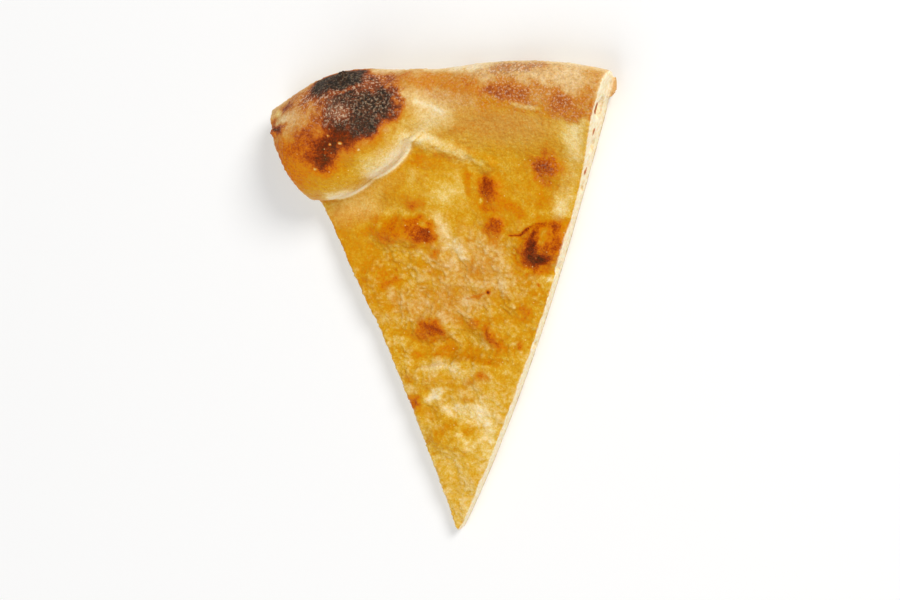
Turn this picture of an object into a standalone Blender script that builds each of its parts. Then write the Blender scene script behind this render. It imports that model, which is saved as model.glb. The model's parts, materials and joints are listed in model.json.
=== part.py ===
"""One slice of focaccia, an eighth of a thin 300 mm round, lying on its flat underside.

The slice is one solid. It is worked out from a few sizes: a side view turned round the point
gives the thin body and the puffed rim, a large blister swells the rim's left end and tapers off
along it, and the two sides are cut straight. The top then gets its bubbles, its fold and its
step, the cut sides get the holes of the crumb, and the whole is bowed a little.

Metres, +Z up. The point of the slice is towards -Y and the rim towards +Y. The origin is on the
underside, at the middle of the slice's box.
"""

import math
from collections import namedtuple

import bmesh
import bpy
import numpy as np
from mathutils import Matrix, Vector, noise

# Driving dimensions
RADIUS = 0.150  # of the round that the slice is cut from
LEFT_CUT = math.radians(20.6)  # each side's angle from the middle line
RIGHT_CUT = math.radians(22.4)
BODY_THICKNESS = 0.0068
TIP_THICKNESS = 0.0050
TIP_BLUNT = 0.0015  # radius of the point

# The rim, measured in from its outer edge
RIM_HEIGHT = 0.0165
RIM_CREST_IN = 0.0095
RIM_FOOT_IN = 0.036
RIM_EDGE_HEIGHT = 0.0075  # height of the outermost line
UNDERSIDE_IN = 0.011  # where the underside starts to lift towards the rim

# How far the rim reaches, by its angle from the middle line: (degrees, metres)
RIM_REACH = (
    (-22.0, 0.1470),
    (-11.0, 0.1525),
    (1.0, 0.1475),
    (12.0, 0.1530),
    (22.0, 0.1570),
)
REACH_FROM = 0.100  # the body inside this radius isn't stretched
BOW = 0.0045  # the middle line bows to the right by this much
BOW_POWER = 0.8

# The blister: three overlapping swellings, the first blown past the cut and cut with the slice
Swelling = namedtuple("Swelling", "centre half turn")
BLISTER = (
    Swelling((-0.0340, 0.1268, 0.0112), (0.0200, 0.0172, 0.0136), 18),
    Swelling((-0.0230, 0.1312, 0.0112), (0.0190, 0.0160, 0.0138), 34),
    Swelling((-0.0075, 0.1375, 0.0100), (0.0165, 0.0098, 0.0105), 38),
)
HOLLOW = Swelling((-0.0478, 0.1245, 0.0128), (0.0110, 0.0066, 0.0052), 20)
BLEND_FROM = 0.1330  # outside this radius the blister is smoothed into the rim
BLEND_ABOVE = 0.0150  # and its top is smoothed above this height
BLEND_PASSES = 30

# Bumps and dips of the top: place, half length, half width, turn in degrees, height
Bump = namedtuple("Bump", "x y along across turn height")
BUMPS = (
    Bump(-0.0020, 0.1140, 0.0180, 0.0110, 8, 0.0030),  # broad bubble below the fold
    Bump(-0.0095, 0.0970, 0.0150, 0.0062, -2, 0.0028),  # long browned mound
    Bump(0.0365, 0.0925, 0.0105, 0.0080, 20, 0.0032),  # dark bubble at the right cut
    Bump(0.0202, 0.1103, 0.0040, 0.0068, 0, 0.0013),
    Bump(0.0194, 0.0988, 0.0044, 0.0044, 0, 0.0012),
    Bump(0.0396, 0.1153, 0.0058, 0.0054, 0, 0.0014),
    Bump(-0.0023, 0.0675, 0.0080, 0.0060, 10, 0.0024),
    Bump(0.0168, 0.0642, 0.0048, 0.0036, -40, 0.0012),
    Bump(0.0020, 0.0325, 0.0105, 0.0078, -10, 0.0024),  # bubble near the point
    Bump(-0.0240, 0.1060, 0.0130, 0.0050, 10, -0.0014),  # dip under the blister
    Bump(0.0050, 0.0625, 0.0180, 0.0052, 0, -0.0016),  # dip above the step
    Bump(-0.0047, 0.0412, 0.0050, 0.0040, 0, -0.0012),
    Bump(-0.0240, 0.0800, 0.0100, 0.0140, 20, 0.0012),
    Bump(0.0260, 0.0780, 0.0090, 0.0090, 0, 0.0010),
)

# A fold runs from the blister's end down to the right, and a low step crosses the slice
FOLD = ((0.0015, 0.1330), (0.0060, 0.1265), (0.0120, 0.1220), (0.0220, 0.1175))
FOLD_HEIGHT = 0.0012
FOLD_WIDTH = 0.0048
STEP_Y = 0.0570
STEP_HEIGHT = 0.0017
STEP_SLOPE = 0.0022
STEP_FADE = 0.0340
STEP_BEND = 0.0052  # size of the step's curves
STEP_X, STEP_HALF, STEP_ENDS = 0.0050, 0.0200, 0.0090

# Unevenness of the top, by two sizes of lump; the small lumps fade out towards the rim
WAVE_SIZE, WAVE_HEIGHT = 0.0180, 0.0011
LUMP_SIZE, LUMP_HEIGHT = 0.0046, 0.0009
LUMPS_FADE = (0.085, 0.120)
LUMPS_LEFT = 0.35  # share of the small lumps that the rim keeps

# Holes of the crumb in the cut sides (1 is the right): distance from the point, height, size
Hole = namedtuple("Hole", "side along height half depth")
HOLES = (
    Hole(1, 0.1390, 0.0085, 0.0036, 0.0024),
    Hole(1, 0.1280, 0.0060, 0.0024, 0.0016),
    Hole(1, 0.1165, 0.0045, 0.0020, 0.0013),
    Hole(1, 0.0920, 0.0045, 0.0026, 0.0016),
    Hole(1, 0.0660, 0.0036, 0.0020, 0.0012),
    Hole(-1, 0.0980, 0.0040, 0.0026, 0.0016),
    Hole(-1, 0.0800, 0.0036, 0.0020, 0.0012),
    Hole(-1, 0.0560, 0.0038, 0.0024, 0.0014),
)

# Thin flakes of the torn crust: centre, half length, half width, turn and lean in degrees
Flake = namedtuple("Flake", "x y z half width turn lean")
FLAKES = (
    Flake(-0.0225, 0.1462, 0.0180, 0.0026, 0.0018, 60, 10),
    Flake(-0.0480, 0.1378, 0.0130, 0.0024, 0.0022, 165, 5),
    Flake(-0.0474, 0.1330, 0.0190, 0.0022, 0.0020, 160, 25),
    Flake(0.0080, 0.1452, 0.0126, 0.0028, 0.0030, 110, 5),
    Flake(0.0557, 0.1335, 0.0048, 0.0034, 0.0018, 62, 0),
)
FLAKE_THICKNESS = 0.0007

# Mesh sizes
CELL = 0.00075
EVEN_PASSES = 2
TURN_STEPS = 14
OVERCUT = math.radians(3.0)  # the turned body is wider by this on each side, and is then cut
FLAT_BELOW = 0.0007  # the skin's underside is put level below this, before it is thinned out
LEVEL_BELOW = 0.0001  # and again after
CUT_NEAR = 0.0006
SOLID_TRIANGLES = 9000

NAME = "focaccia_slice"
BREAD_COLOUR = (0.73, 0.45, 0.14, 1.0)
BREAD_ROUGHNESS = 0.6


def ease(value):
    """0 below 0, 1 above 1, and a smooth S between."""
    t = np.clip(value, 0.0, 1.0)
    return t * t * (3.0 - 2.0 * t)


def clear_scene():
    for thing in list(bpy.data.objects):
        bpy.data.objects.remove(thing, do_unlink=True)


def slice_profile():
    """The side view from the point to the rim, as (radius, height) once round."""
    crest = RADIUS - RIM_CREST_IN
    foot = RADIUS - RIM_FOOT_IN
    rise = RIM_HEIGHT - RIM_EDGE_HEIGHT
    fall = RIM_HEIGHT - BODY_THICKNESS
    points = [(TIP_BLUNT, 0.0)]
    for i in range(6):  # lower outer corner
        turn = math.radians(15.0 * i)
        reach = RADIUS - UNDERSIDE_IN * (1.0 - math.sin(turn))
        points.append((reach, RIM_EDGE_HEIGHT * (1.0 - math.cos(turn))))
    for i in range(7):  # upper outer corner, up to the crest
        turn = math.radians(15.0 * i)
        reach = crest + RIM_CREST_IN * math.cos(turn)
        points.append((reach, RIM_EDGE_HEIGHT + rise * math.sin(turn)))
    for i in range(1, 9):  # long inner slope down to the body
        share = i / 8
        reach = crest + (foot - crest) * share
        points.append((reach, BODY_THICKNESS + fall * (1.0 - float(ease(share)))))
    points.append((RADIUS * 0.2, BODY_THICKNESS))
    points.append((TIP_BLUNT, TIP_THICKNESS))
    return points


def turned_body(bm):
    """The side view turned about the upright axis through the point, as a closed shape."""
    first = Matrix.Rotation(LEFT_CUT + OVERCUT, 3, "Z")
    corners = [bm.verts.new(first @ Vector((0.0, r, z))) for r, z in slice_profile()]
    bmesh.ops.spin(
        bm,
        geom=[bm.faces.new(corners)],
        cent=(0, 0, 0),
        axis=(0, 0, 1),
        angle=-(LEFT_CUT + RIGHT_CUT + 2 * OVERCUT),
        steps=TURN_STEPS,
        use_duplicate=False,
    )
    bmesh.ops.recalc_face_normals(bm, faces=bm.faces)


def add_ball(bm, centre, half, turn, lean=0.0, rings=20):
    """A ball squeezed to three half sizes, leant up, turned about Z and set at its centre."""
    place = (
        Matrix.Translation(centre)
        @ Matrix.Rotation(math.radians(turn), 4, "Z")
        @ Matrix.Rotation(math.radians(-lean), 4, "Y")
        @ Matrix.Diagonal((*half, 1.0))
    )
    bmesh.ops.create_uvsphere(
        bm, u_segments=2 * rings, v_segments=rings, radius=1.0, matrix=place
    )


def add_flakes(bm):
    for flake in FLAKES:
        half = (flake.half, flake.width, FLAKE_THICKNESS)
        add_ball(bm, (flake.x, flake.y, flake.z), half, flake.turn, flake.lean, rings=8)


def blend_blister(bm):
    """Smooths the blister into the rim, so that only its inner edge stays sharp."""
    outer = []
    for vert in bm.verts:
        reach, height = vert.co.xy.length, vert.co.z
        if height > BLEND_ABOVE or (reach > BLEND_FROM and height > BODY_THICKNESS / 2):
            outer.append(vert)
    smooth(bm, outer, BLEND_PASSES)


def smooth(bm, verts, passes):
    for _ in range(passes):
        bmesh.ops.smooth_vert(
            bm, verts=verts, factor=0.5, use_axis_x=True, use_axis_y=True, use_axis_z=True
        )


def even_out(bm):
    """Takes the finest steps out of the skin."""
    smooth(bm, bm.verts, EVEN_PASSES)


def side_normals():
    """The outward directions of the two cut sides, right (1) and left (-1)."""
    return {
        1: Vector((math.cos(RIGHT_CUT), -math.sin(RIGHT_CUT), 0)),
        -1: Vector((-math.cos(LEFT_CUT), -math.sin(LEFT_CUT), 0)),
    }


def cut_sides(bm):
    """Cuts the blank along the slice's two sides and level with the underside, and closes it."""
    for normal in (*side_normals().values(), Vector((0, 0, -1))):
        everything = bm.verts[:] + bm.edges[:] + bm.faces[:]
        cut = bmesh.ops.bisect_plane(
            bm, geom=everything, plane_co=(0, 0, 0), plane_no=normal, clear_outer=True
        )
        rim = [e for e in cut["geom_cut"] if isinstance(e, bmesh.types.BMEdge)]
        bmesh.ops.holes_fill(bm, edges=rim, sides=0)
    bmesh.ops.recalc_face_normals(bm, faces=bm.faces)


def object_from(bm, name):
    mesh = bpy.data.meshes.new(name)
    bm.to_mesh(mesh)
    bm.free()
    made = bpy.data.objects.new(name, mesh)
    bpy.context.scene.collection.objects.link(made)
    return made


def rework(thing, *steps):
    """Runs mesh steps on the object's mesh, in turn."""
    bm = bmesh.new()
    bm.from_mesh(thing.data)
    for step in steps:
        step(bm)
    bm.to_mesh(thing.data)
    bm.free()


def apply_modifiers(thing):
    """Puts the evaluated mesh in the object and clears its modifiers."""
    graph = bpy.context.evaluated_depsgraph_get()
    mesh = bpy.data.meshes.new_from_object(thing.evaluated_get(graph))
    thing.modifiers.clear()
    thing.data = mesh


def skin(thing):
    """One even skin of small cells round everything in the mesh."""
    modifier = thing.modifiers.new("skin", "REMESH")
    modifier.mode = "VOXEL"
    modifier.voxel_size = CELL
    apply_modifiers(thing)


def hollow_out(thing):
    """Takes the blister's air pocket out of the cut side."""
    bm = bmesh.new()
    add_ball(bm, *HOLLOW)
    pocket = object_from(bm, "pocket")
    modifier = thing.modifiers.new("pocket", "BOOLEAN")
    modifier.operation = "DIFFERENCE"
    modifier.object = pocket
    apply_modifiers(thing)
    bpy.data.objects.remove(pocket, do_unlink=True)


def bump_heights(x, y):
    """Height of the domes and dips over each place."""
    total = np.zeros_like(x)
    for bump in BUMPS:
        turn = math.radians(bump.turn)
        dx, dy = x - bump.x, y - bump.y
        u = (dx * math.cos(turn) + dy * math.sin(turn)) / bump.along
        v = (dy * math.cos(turn) - dx * math.sin(turn)) / bump.across
        total += bump.height * np.clip(1.0 - u * u - v * v, 0.0, 1.0) ** 1.5
    return total


def distance_to_line(x, y, line):
    """Least distance from each place to a line of points."""
    least = np.full_like(x, np.inf)
    for (ax, ay), (bx, by) in zip(line, line[1:]):
        length = (bx - ax) ** 2 + (by - ay) ** 2
        share = np.clip(((x - ax) * (bx - ax) + (y - ay) * (by - ay)) / length, 0, 1)
        nearest_x, nearest_y = ax + share * (bx - ax), ay + share * (by - ay)
        least = np.minimum(least, np.hypot(x - nearest_x, y - nearest_y))
    return least


def lumps(x, y, z, size):
    """Seedless smooth noise from -1 to 1, with lumps about this size."""
    return np.array([noise.noise(Vector(p) / size) for p in zip(x, y, z)])


def top_relief(x, y, z):
    """How far the top is raised or sunk over each place."""
    fold = FOLD_HEIGHT * ease(1.0 - distance_to_line(x, y, FOLD) / FOLD_WIDTH)
    edge = STEP_Y + WAVE_HEIGHT * np.sin(x / STEP_BEND)
    step = STEP_HEIGHT * ease((edge - y) / STEP_SLOPE) * ease(1.0 - (edge - y) / STEP_FADE)
    step = step * ease((STEP_HALF - np.abs(x - STEP_X)) / STEP_ENDS)
    waves = WAVE_HEIGHT * lumps(x, y, z, WAVE_SIZE)
    near, far = LUMPS_FADE
    share = 1.0 - (1.0 - LUMPS_LEFT) * ease((np.hypot(x, y) - near) / (far - near))
    bits = LUMP_HEIGHT * share * lumps(x, y, z, LUMP_SIZE)
    return bump_heights(x, y) + fold + step + waves + bits


def crumb_depth(x, y, z, side):
    """How far each place of one cut side is pushed in by the crumb's holes."""
    along = np.hypot(x, y)
    total = np.zeros_like(x)
    for hole in HOLES:
        if hole.side == side:
            far = np.hypot(along - hole.along, z - hole.height) / hole.half
            total = np.maximum(total, hole.depth * ease((1.0 - far) * 1.6))
    return total


def bend_plan(x, y):
    """The straight slice's plan, drawn out to the rim's uneven reach and bowed to the right."""
    radius = np.hypot(x, y)
    angle = np.degrees(np.arctan2(x, y))
    degrees, reaches = np.array(RIM_REACH).T
    knots = np.linspace(degrees[0], degrees[-1], 45)
    smooth = np.convolve(
        np.pad(np.interp(knots, degrees, reaches), 4, "edge"), np.ones(9) / 9, "valid"
    )
    reach = np.interp(angle, knots, smooth) - RADIUS
    stretch = reach * ease((radius - REACH_FROM) / (RADIUS - REACH_FROM)) / radius
    x, y = x * (1.0 + stretch), y * (1.0 + stretch)
    share = np.clip(y / RADIUS, 0.0, 1.0)
    return x + BOW * np.sin(math.pi * share**BOW_POWER), y


def shape_surface(points):
    """Moves the points of the cut blank to those of the real slice."""
    x, y, z = points.T.copy()
    for side, normal in side_normals().items():
        on_cut = x * normal.x + y * normal.y > -CUT_NEAR
        depth = crumb_depth(x, y, z, side) * on_cut
        x, y = x - depth * normal.x, y - depth * normal.y
    x, y = bend_plan(x, y)
    z = np.where(z < FLAT_BELOW, 0.0, z)
    z = z + top_relief(x, y, z) * ease(z / (0.7 * BODY_THICKNESS))
    return np.stack((x, y, z), axis=1)


def points_of(mesh):
    points = np.empty(len(mesh.vertices) * 3, np.float32)
    mesh.vertices.foreach_get("co", points)
    return points.reshape(-1, 3).astype(float)


def set_points(mesh, points):
    mesh.vertices.foreach_set("co", points.astype(np.float32).ravel())
    mesh.update()


def thin_out(thing, triangles):
    """Joins small triangles where the surface is flat, down to this many."""
    thing.data.calc_loop_triangles()
    modifier = thing.modifiers.new("thin", "DECIMATE")
    modifier.ratio = triangles / len(thing.data.loop_triangles)
    modifier.use_collapse_triangulate = True
    apply_modifiers(thing)


def bread_material():
    material = bpy.data.materials.new("baked_dough")
    material.use_nodes = True
    shader = material.node_tree.nodes["Principled BSDF"]
    shader.inputs["Base Color"].default_value = BREAD_COLOUR
    shader.inputs["Roughness"].default_value = BREAD_ROUGHNESS
    shader.inputs["Metallic"].default_value = 0.0
    return material


def make_slice():
    bm = bmesh.new()
    turned_body(bm)
    for swelling in BLISTER:
        add_ball(bm, *swelling)
    blank = object_from(bm, NAME)
    skin(blank)
    rework(blank, blend_blister, cut_sides)
    hollow_out(blank)
    rework(blank, add_flakes)
    skin(blank)
    rework(blank, even_out)
    set_points(blank.data, shape_surface(points_of(blank.data)))
    thin_out(blank, SOLID_TRIANGLES)
    points = points_of(blank.data)
    points[:, 2] = np.where(points[:, 2] < LEVEL_BELOW, 0.0, points[:, 2])
    middle = (points.min(axis=0) + points.max(axis=0)) / 2
    set_points(blank.data, points - (middle[0], middle[1], 0.0))
    blank.data.materials.clear()
    blank.data.materials.append(bread_material())
    blank.data.shade_smooth()
    return blank


def main():
    clear_scene()
    slice_object = make_slice()
    collection = bpy.data.collections.new("focaccia")
    bpy.context.scene.collection.children.link(collection)
    collection.objects.link(slice_object)
    bpy.context.scene.collection.objects.unlink(slice_object)


if __name__ == "__main__":
    main()
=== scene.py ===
"""Looks of one slice of focaccia: its baked shape, its crust and crumb, and a plain pale studio.

The slice is turned, swelled and cut as the CAD solid is, with a finer skin. Its surface then gets
what the oven gave it: the blister and bubbles, the curdled top, the floury rim, the crumb of the
cut sides, and how far each place is browned, oiled and floured. Some shade and highlights are
painted into its colours as well.

Places on the slice are given in its own plan: the point of the slice is at zero, the rim is
towards +Y, and the tables of domes, of browned marks and of painted shade and highlights are in
millimetres.
"""

import json
import logging
import math
from collections.abc import Callable, Sequence
from dataclasses import dataclass, field
from enum import Enum

import bpy
import numpy as np
from mathutils import Matrix, Vector, noise

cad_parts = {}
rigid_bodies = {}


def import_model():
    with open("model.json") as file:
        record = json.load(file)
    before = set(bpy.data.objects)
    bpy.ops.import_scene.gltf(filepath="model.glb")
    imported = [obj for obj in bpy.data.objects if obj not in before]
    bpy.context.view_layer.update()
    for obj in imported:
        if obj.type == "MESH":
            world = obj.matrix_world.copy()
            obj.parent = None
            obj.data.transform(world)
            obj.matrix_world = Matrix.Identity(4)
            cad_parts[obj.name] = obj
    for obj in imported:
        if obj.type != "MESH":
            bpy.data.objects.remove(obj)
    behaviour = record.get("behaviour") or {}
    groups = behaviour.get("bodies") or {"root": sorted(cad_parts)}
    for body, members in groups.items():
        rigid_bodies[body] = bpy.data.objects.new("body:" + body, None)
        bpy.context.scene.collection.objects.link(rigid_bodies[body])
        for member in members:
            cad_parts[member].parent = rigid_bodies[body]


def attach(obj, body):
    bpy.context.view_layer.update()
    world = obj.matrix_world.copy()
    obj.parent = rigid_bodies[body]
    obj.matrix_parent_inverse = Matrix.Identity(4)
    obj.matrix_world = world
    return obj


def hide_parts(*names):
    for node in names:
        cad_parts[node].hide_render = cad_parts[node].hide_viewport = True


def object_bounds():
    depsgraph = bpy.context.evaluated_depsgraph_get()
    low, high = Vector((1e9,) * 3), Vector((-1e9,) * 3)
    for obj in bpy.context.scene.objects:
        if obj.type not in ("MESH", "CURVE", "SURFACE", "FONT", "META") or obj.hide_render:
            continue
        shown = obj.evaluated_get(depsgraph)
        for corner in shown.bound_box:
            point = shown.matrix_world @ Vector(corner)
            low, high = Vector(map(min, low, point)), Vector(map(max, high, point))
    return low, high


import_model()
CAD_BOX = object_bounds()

LOG = logging.getLogger("focaccia")

MM = 0.001
SCREEN_WHITE = 255.0
SCREEN_DARK = 0.04045  # below this a screen's curve is a straight line
SCREEN_SLOPE = 12.92
SCREEN_LIFT = 0.055
SCREEN_POWER = 2.4
ROUGH_NOISE = (0.6, 2.0, 3)  # fall of each finer size, step between sizes, number of sizes
CREASE_NARROWNESS = 2.4
PUSH_SHIFTS = (11.3, 27.1, 43.7)  # unlike noise along X, Y and Z
DOME_ROUNDNESS = 1.5
HOLE_WALL = 1.6  # steepness of an air hole's wall
MIX_FIRST, MIX_SECOND, MIX_RESULT = 6, 7, 2  # the colour sockets of a Mix node
SPECK_FULL = 0.4  # share of a speck's radius that has its full colour
SPECK_STEP = 0.02  # how sharply cells with a speck are told from those without
PLAN_POINT = tuple[float, float]
PLACE = tuple[float, float, float]
COLOUR = tuple[float, float, float]


def ease(value: np.ndarray | float) -> np.ndarray:
    """Runs from 0 below 0 to 1 above 1, with a smooth S between.

    Args:
        value: The numbers to ease.

    Returns:
        The eased numbers.
    """
    t = np.clip(value, 0.0, 1.0)
    return t * t * (3.0 - 2.0 * t)


def toward(old: np.ndarray, new: np.ndarray | float, share: np.ndarray) -> np.ndarray:
    """Moves numbers towards others by a share.

    Args:
        old: The numbers as they are.
        new: What they become where the share is 1.
        share: How far each goes, from 0 to 1.

    Returns:
        The blended numbers.
    """
    return old + (new - old) * share


def paint(red: int, green: int, blue: int) -> COLOUR:
    """Turns a screen colour into the shader's linear one.

    Args:
        red: Red, from 0 to 255.
        green: Green, from 0 to 255.
        blue: Blue, from 0 to 255.

    Returns:
        The linear colour.
    """

    def linear(level: int) -> float:
        """The linear value of one channel."""
        share = level / SCREEN_WHITE
        if share <= SCREEN_DARK:
            return share / SCREEN_SLOPE
        return ((share + SCREEN_LIFT) / (1.0 + SCREEN_LIFT)) ** SCREEN_POWER

    return linear(red), linear(green), linear(blue)


class Side(Enum):
    """The two cut sides of the slice, seen with the rim away."""

    LEFT = -1
    RIGHT = 1


class Zone(Enum):
    """Where a browned mark may lie."""

    BLISTER = "blister"
    REST = "rest"
    ALL = "all"


class Layer(Enum):
    """What the surface carries from place to place for the material."""

    BROWNING = "browning"
    OIL = "oil"
    FLOUR = "flour"
    CRUMB = "crumb"
    UNDERSIDE = "underside"


class Hand:
    """Small steps of modelling by hand, each on one object."""

    @staticmethod
    def only(thing: bpy.types.Object) -> None:
        """Selects one object alone and makes it active."""
        if bpy.context.object and bpy.context.object.mode != "OBJECT":
            bpy.ops.object.mode_set(mode="OBJECT")
        for other in list(bpy.context.view_layer.objects):
            other.select_set(False)
        thing.select_set(True)
        bpy.context.view_layer.objects.active = thing

    @staticmethod
    def new_piece(name: str) -> bpy.types.Object:
        """Names the primitive that was just added.

        Args:
            name: Its new name.

        Returns:
            The object.
        """
        thing = bpy.context.object
        thing.name = name
        thing.data.name = name
        return thing

    @classmethod
    def edit(cls, thing: bpy.types.Object, mask: np.ndarray | None, *steps: Callable) -> None:
        """Runs edit-mode steps on some of an object's vertices.

        Args:
            thing: The mesh object.
            mask: Which vertices are selected, or None for all of them.
            *steps: What is done in edit mode, in turn.
        """
        cls.only(thing)
        bpy.ops.object.mode_set(mode="EDIT")
        bpy.ops.mesh.select_mode(type="VERT")
        bpy.ops.mesh.select_all(action="SELECT" if mask is None else "DESELECT")
        if mask is not None:
            bpy.ops.object.mode_set(mode="OBJECT")
            thing.data.vertices.foreach_set("select", mask.astype(bool))
            bpy.ops.object.mode_set(mode="EDIT")
        for step in steps:
            step()
        bpy.ops.object.mode_set(mode="OBJECT")

    @classmethod
    def join(cls, thing: bpy.types.Object, others: Sequence[bpy.types.Object]) -> None:
        """Joins other objects into the first one.

        Args:
            thing: The object that stays.
            others: The objects that become part of it.
        """
        cls.only(thing)
        for other in others:
            other.select_set(True)
        bpy.ops.object.join()

    @classmethod
    def finish_with(cls, thing: bpy.types.Object, kind: str, **settings: object) -> None:
        """Adds one modifier and applies it.

        Args:
            thing: The mesh object.
            kind: The modifier's type.
            **settings: Its settings by name.
        """
        cls.only(thing)
        modifier = thing.modifiers.new(kind.lower(), kind)
        for name, value in settings.items():
            setattr(modifier, name, value)
        bpy.ops.object.modifier_apply(modifier=modifier.name)

    @staticmethod
    def _vectors(thing: bpy.types.Object, name: str) -> np.ndarray:
        """One vector of each vertex, by Blender's name for it."""
        vectors = np.empty(len(thing.data.vertices) * 3, np.float32)
        thing.data.vertices.foreach_get(name, vectors)
        return vectors.reshape(-1, 3).astype(float)

    @classmethod
    def points(cls, thing: bpy.types.Object) -> np.ndarray:
        """The places of all the vertices, one row each."""
        return cls._vectors(thing, "co")

    @classmethod
    def normals(cls, thing: bpy.types.Object) -> np.ndarray:
        """The outward directions of all the vertices, one row each."""
        return cls._vectors(thing, "normal")

    @staticmethod
    def put_points(thing: bpy.types.Object, places: np.ndarray) -> None:
        """Moves all the vertices to new places."""
        thing.data.vertices.foreach_set("co", places.astype(np.float32).ravel())
        thing.data.update()


@dataclass(frozen=True)
class Grain:
    """Repeatable noise over a set of places.

    Attributes:
        places: The places, one row each, in metres.
    """

    places: np.ndarray

    def _sample(self, kind: Callable, size: float | PLACE, shift: float) -> np.ndarray:
        """One kind of noise at every place, with lumps of a size."""
        scaled = (self.places / np.asarray(size) + shift).tolist()
        return np.array([kind(place) for place in scaled])

    def soft(self, size: float | PLACE, shift: float = 0.0) -> np.ndarray:
        """Smooth noise from -1 to 1, with lumps about this size."""
        return self._sample(noise.noise, size, shift)

    def rough(self, size: float | PLACE, shift: float = 0.0) -> np.ndarray:
        """Noise of three sizes, each half the last, from about -1 to 1."""
        return self._sample(lambda place: noise.fractal(place, *ROUGH_NOISE), size, shift)

    def creases(self, size: float | PLACE, shift: float = 0.0) -> np.ndarray:
        """Narrow raised lines round lumps about this size, from 0 to 1."""
        return np.clip(1.0 - np.abs(self.soft(size, shift)) * CREASE_NARROWNESS, 0.0, 1.0)

    def seeds(self, size: float | PLACE, shift: float = 0.0) -> np.ndarray:
        """Distance to the nearest of many scattered seeds, in sizes."""
        return self._sample(lambda place: noise.voronoi(place)[0][0], size, shift)

    def warped(self, size: float, reach: float) -> "Grain":
        """The same places pushed about, so that patterns on them run unevenly.

        Args:
            size: Size of the lumps that push.
            reach: How far a place is pushed at most.

        Returns:
            The noise over the pushed places.
        """
        push = np.stack([self.soft(size, shift) for shift in PUSH_SHIFTS], axis=1)
        return Grain(self.places + push * reach)


@dataclass(frozen=True)
class Swelling:
    """A ball squeezed to three half sizes, leant up and turned about Z.

    Attributes:
        centre: Its middle, in metres.
        half: Half its length, width and height, in metres.
        turn: Degrees about Z.
        lean: Degrees that its length is leant up.
    """

    centre: PLACE
    half: PLACE
    turn: float
    lean: float = 0.0

    def model(self, rings: int) -> bpy.types.Object:
        """Makes the ball.

        Args:
            rings: How many rings it has from pole to pole.

        Returns:
            The object.
        """
        bpy.ops.mesh.primitive_uv_sphere_add(
            segments=2 * rings,
            ring_count=rings,
            radius=1.0,
            location=self.centre,
            rotation=(0.0, -math.radians(self.lean), math.radians(self.turn)),
            scale=self.half,
        )
        return Hand.new_piece("swelling")

    def nearness(self, places: np.ndarray) -> np.ndarray:
        """How far out places are: 0 at its middle, 1 on its surface.

        Args:
            places: The places, one row each.

        Returns:
            The distances, in its own half sizes.
        """
        turn = np.array(Matrix.Rotation(math.radians(-self.turn), 3, "Z"))
        inside = (places - np.array(self.centre)) @ turn.T / np.array(self.half)
        return np.linalg.norm(inside, axis=1)


@dataclass(frozen=True)
class Dome:
    """A bubble or dip of the top, in millimetres.

    Attributes:
        x: Its middle across the slice.
        y: Its middle along the slice.
        along: Half its length.
        across: Half its width.
        turn: Degrees about Z.
        height: How far it rises, or sinks where it is below 0.
    """

    x: float
    y: float
    along: float
    across: float
    turn: float
    height: float = 0.0

    def spread(self, x: np.ndarray, y: np.ndarray) -> np.ndarray:
        """How far out places are: 0 at its middle, 1 at its edge.

        Args:
            x: Places across the slice, in metres.
            y: Places along the slice, in metres.

        Returns:
            The distances, in its own half sizes.
        """
        turn = math.radians(self.turn)
        dx, dy = x / MM - self.x, y / MM - self.y
        u = (dx * math.cos(turn) + dy * math.sin(turn)) / self.along
        v = (dy * math.cos(turn) - dx * math.sin(turn)) / self.across
        return np.hypot(u, v)

    def rise(self, x: np.ndarray, y: np.ndarray) -> np.ndarray:
        """Its height over each place, in metres."""
        inside = np.clip(1.0 - self.spread(x, y) ** 2, 0.0, 1.0)
        return self.height * MM * inside**DOME_ROUNDNESS


@dataclass(frozen=True)
class Streak:
    """A long narrow place along a line of points, in millimetres.

    Attributes:
        line: The points, as (x, y).
        half: Half its width.
    """

    line: tuple[PLAN_POINT, ...]
    half: float

    def spread(self, x: np.ndarray, y: np.ndarray) -> np.ndarray:
        """How far out places are: 0 on the line, 1 at half the width from it."""
        least = np.full_like(x, np.inf)
        px, py = x / MM, y / MM
        for (ax, ay), (bx, by) in zip(self.line, self.line[1:]):
            length = (bx - ax) ** 2 + (by - ay) ** 2
            share = np.clip(((px - ax) * (bx - ax) + (py - ay) * (by - ay)) / length, 0, 1)
            near_x, near_y = ax + share * (bx - ax), ay + share * (by - ay)
            least = np.minimum(least, np.hypot(px - near_x, py - near_y))
        return least / self.half


@dataclass(frozen=True)
class Mark:
    """A place that is browned, oiled or floured in its own way; some marks are painted shade or painted
    highlights.

    Attributes:
        shape: Where it is.
        browning: How far it is browned, or None to leave that. For painted shade and highlights it sets how
            dark they are.
        oil: How oily it is, or None to leave that.
        flour: How floury it is, or None to leave that.
        soft: Share of its half size over which it fades, in and out from its edge.
        ragged: How uneven its edge is.
        zone: Where it may lie.
    """

    shape: Dome | Streak
    browning: float | None = None
    oil: float | None = None
    flour: float | None = None
    soft: float = 0.9
    ragged: float = 0.2
    zone: Zone = Zone.REST

    def share(self, x: np.ndarray, y: np.ndarray, uneven: np.ndarray) -> np.ndarray:
        """How strongly it shows at each place.

        Args:
            x: Places across the slice, in metres.
            y: Places along the slice, in metres.
            uneven: Noise from -1 to 1 for its edge.

        Returns:
            The shares, from 0 to 1.
        """
        inside = 1.0 - self.shape.spread(x, y) + self.ragged * uneven
        return ease(0.5 + inside / (2.0 * self.soft))


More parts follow.
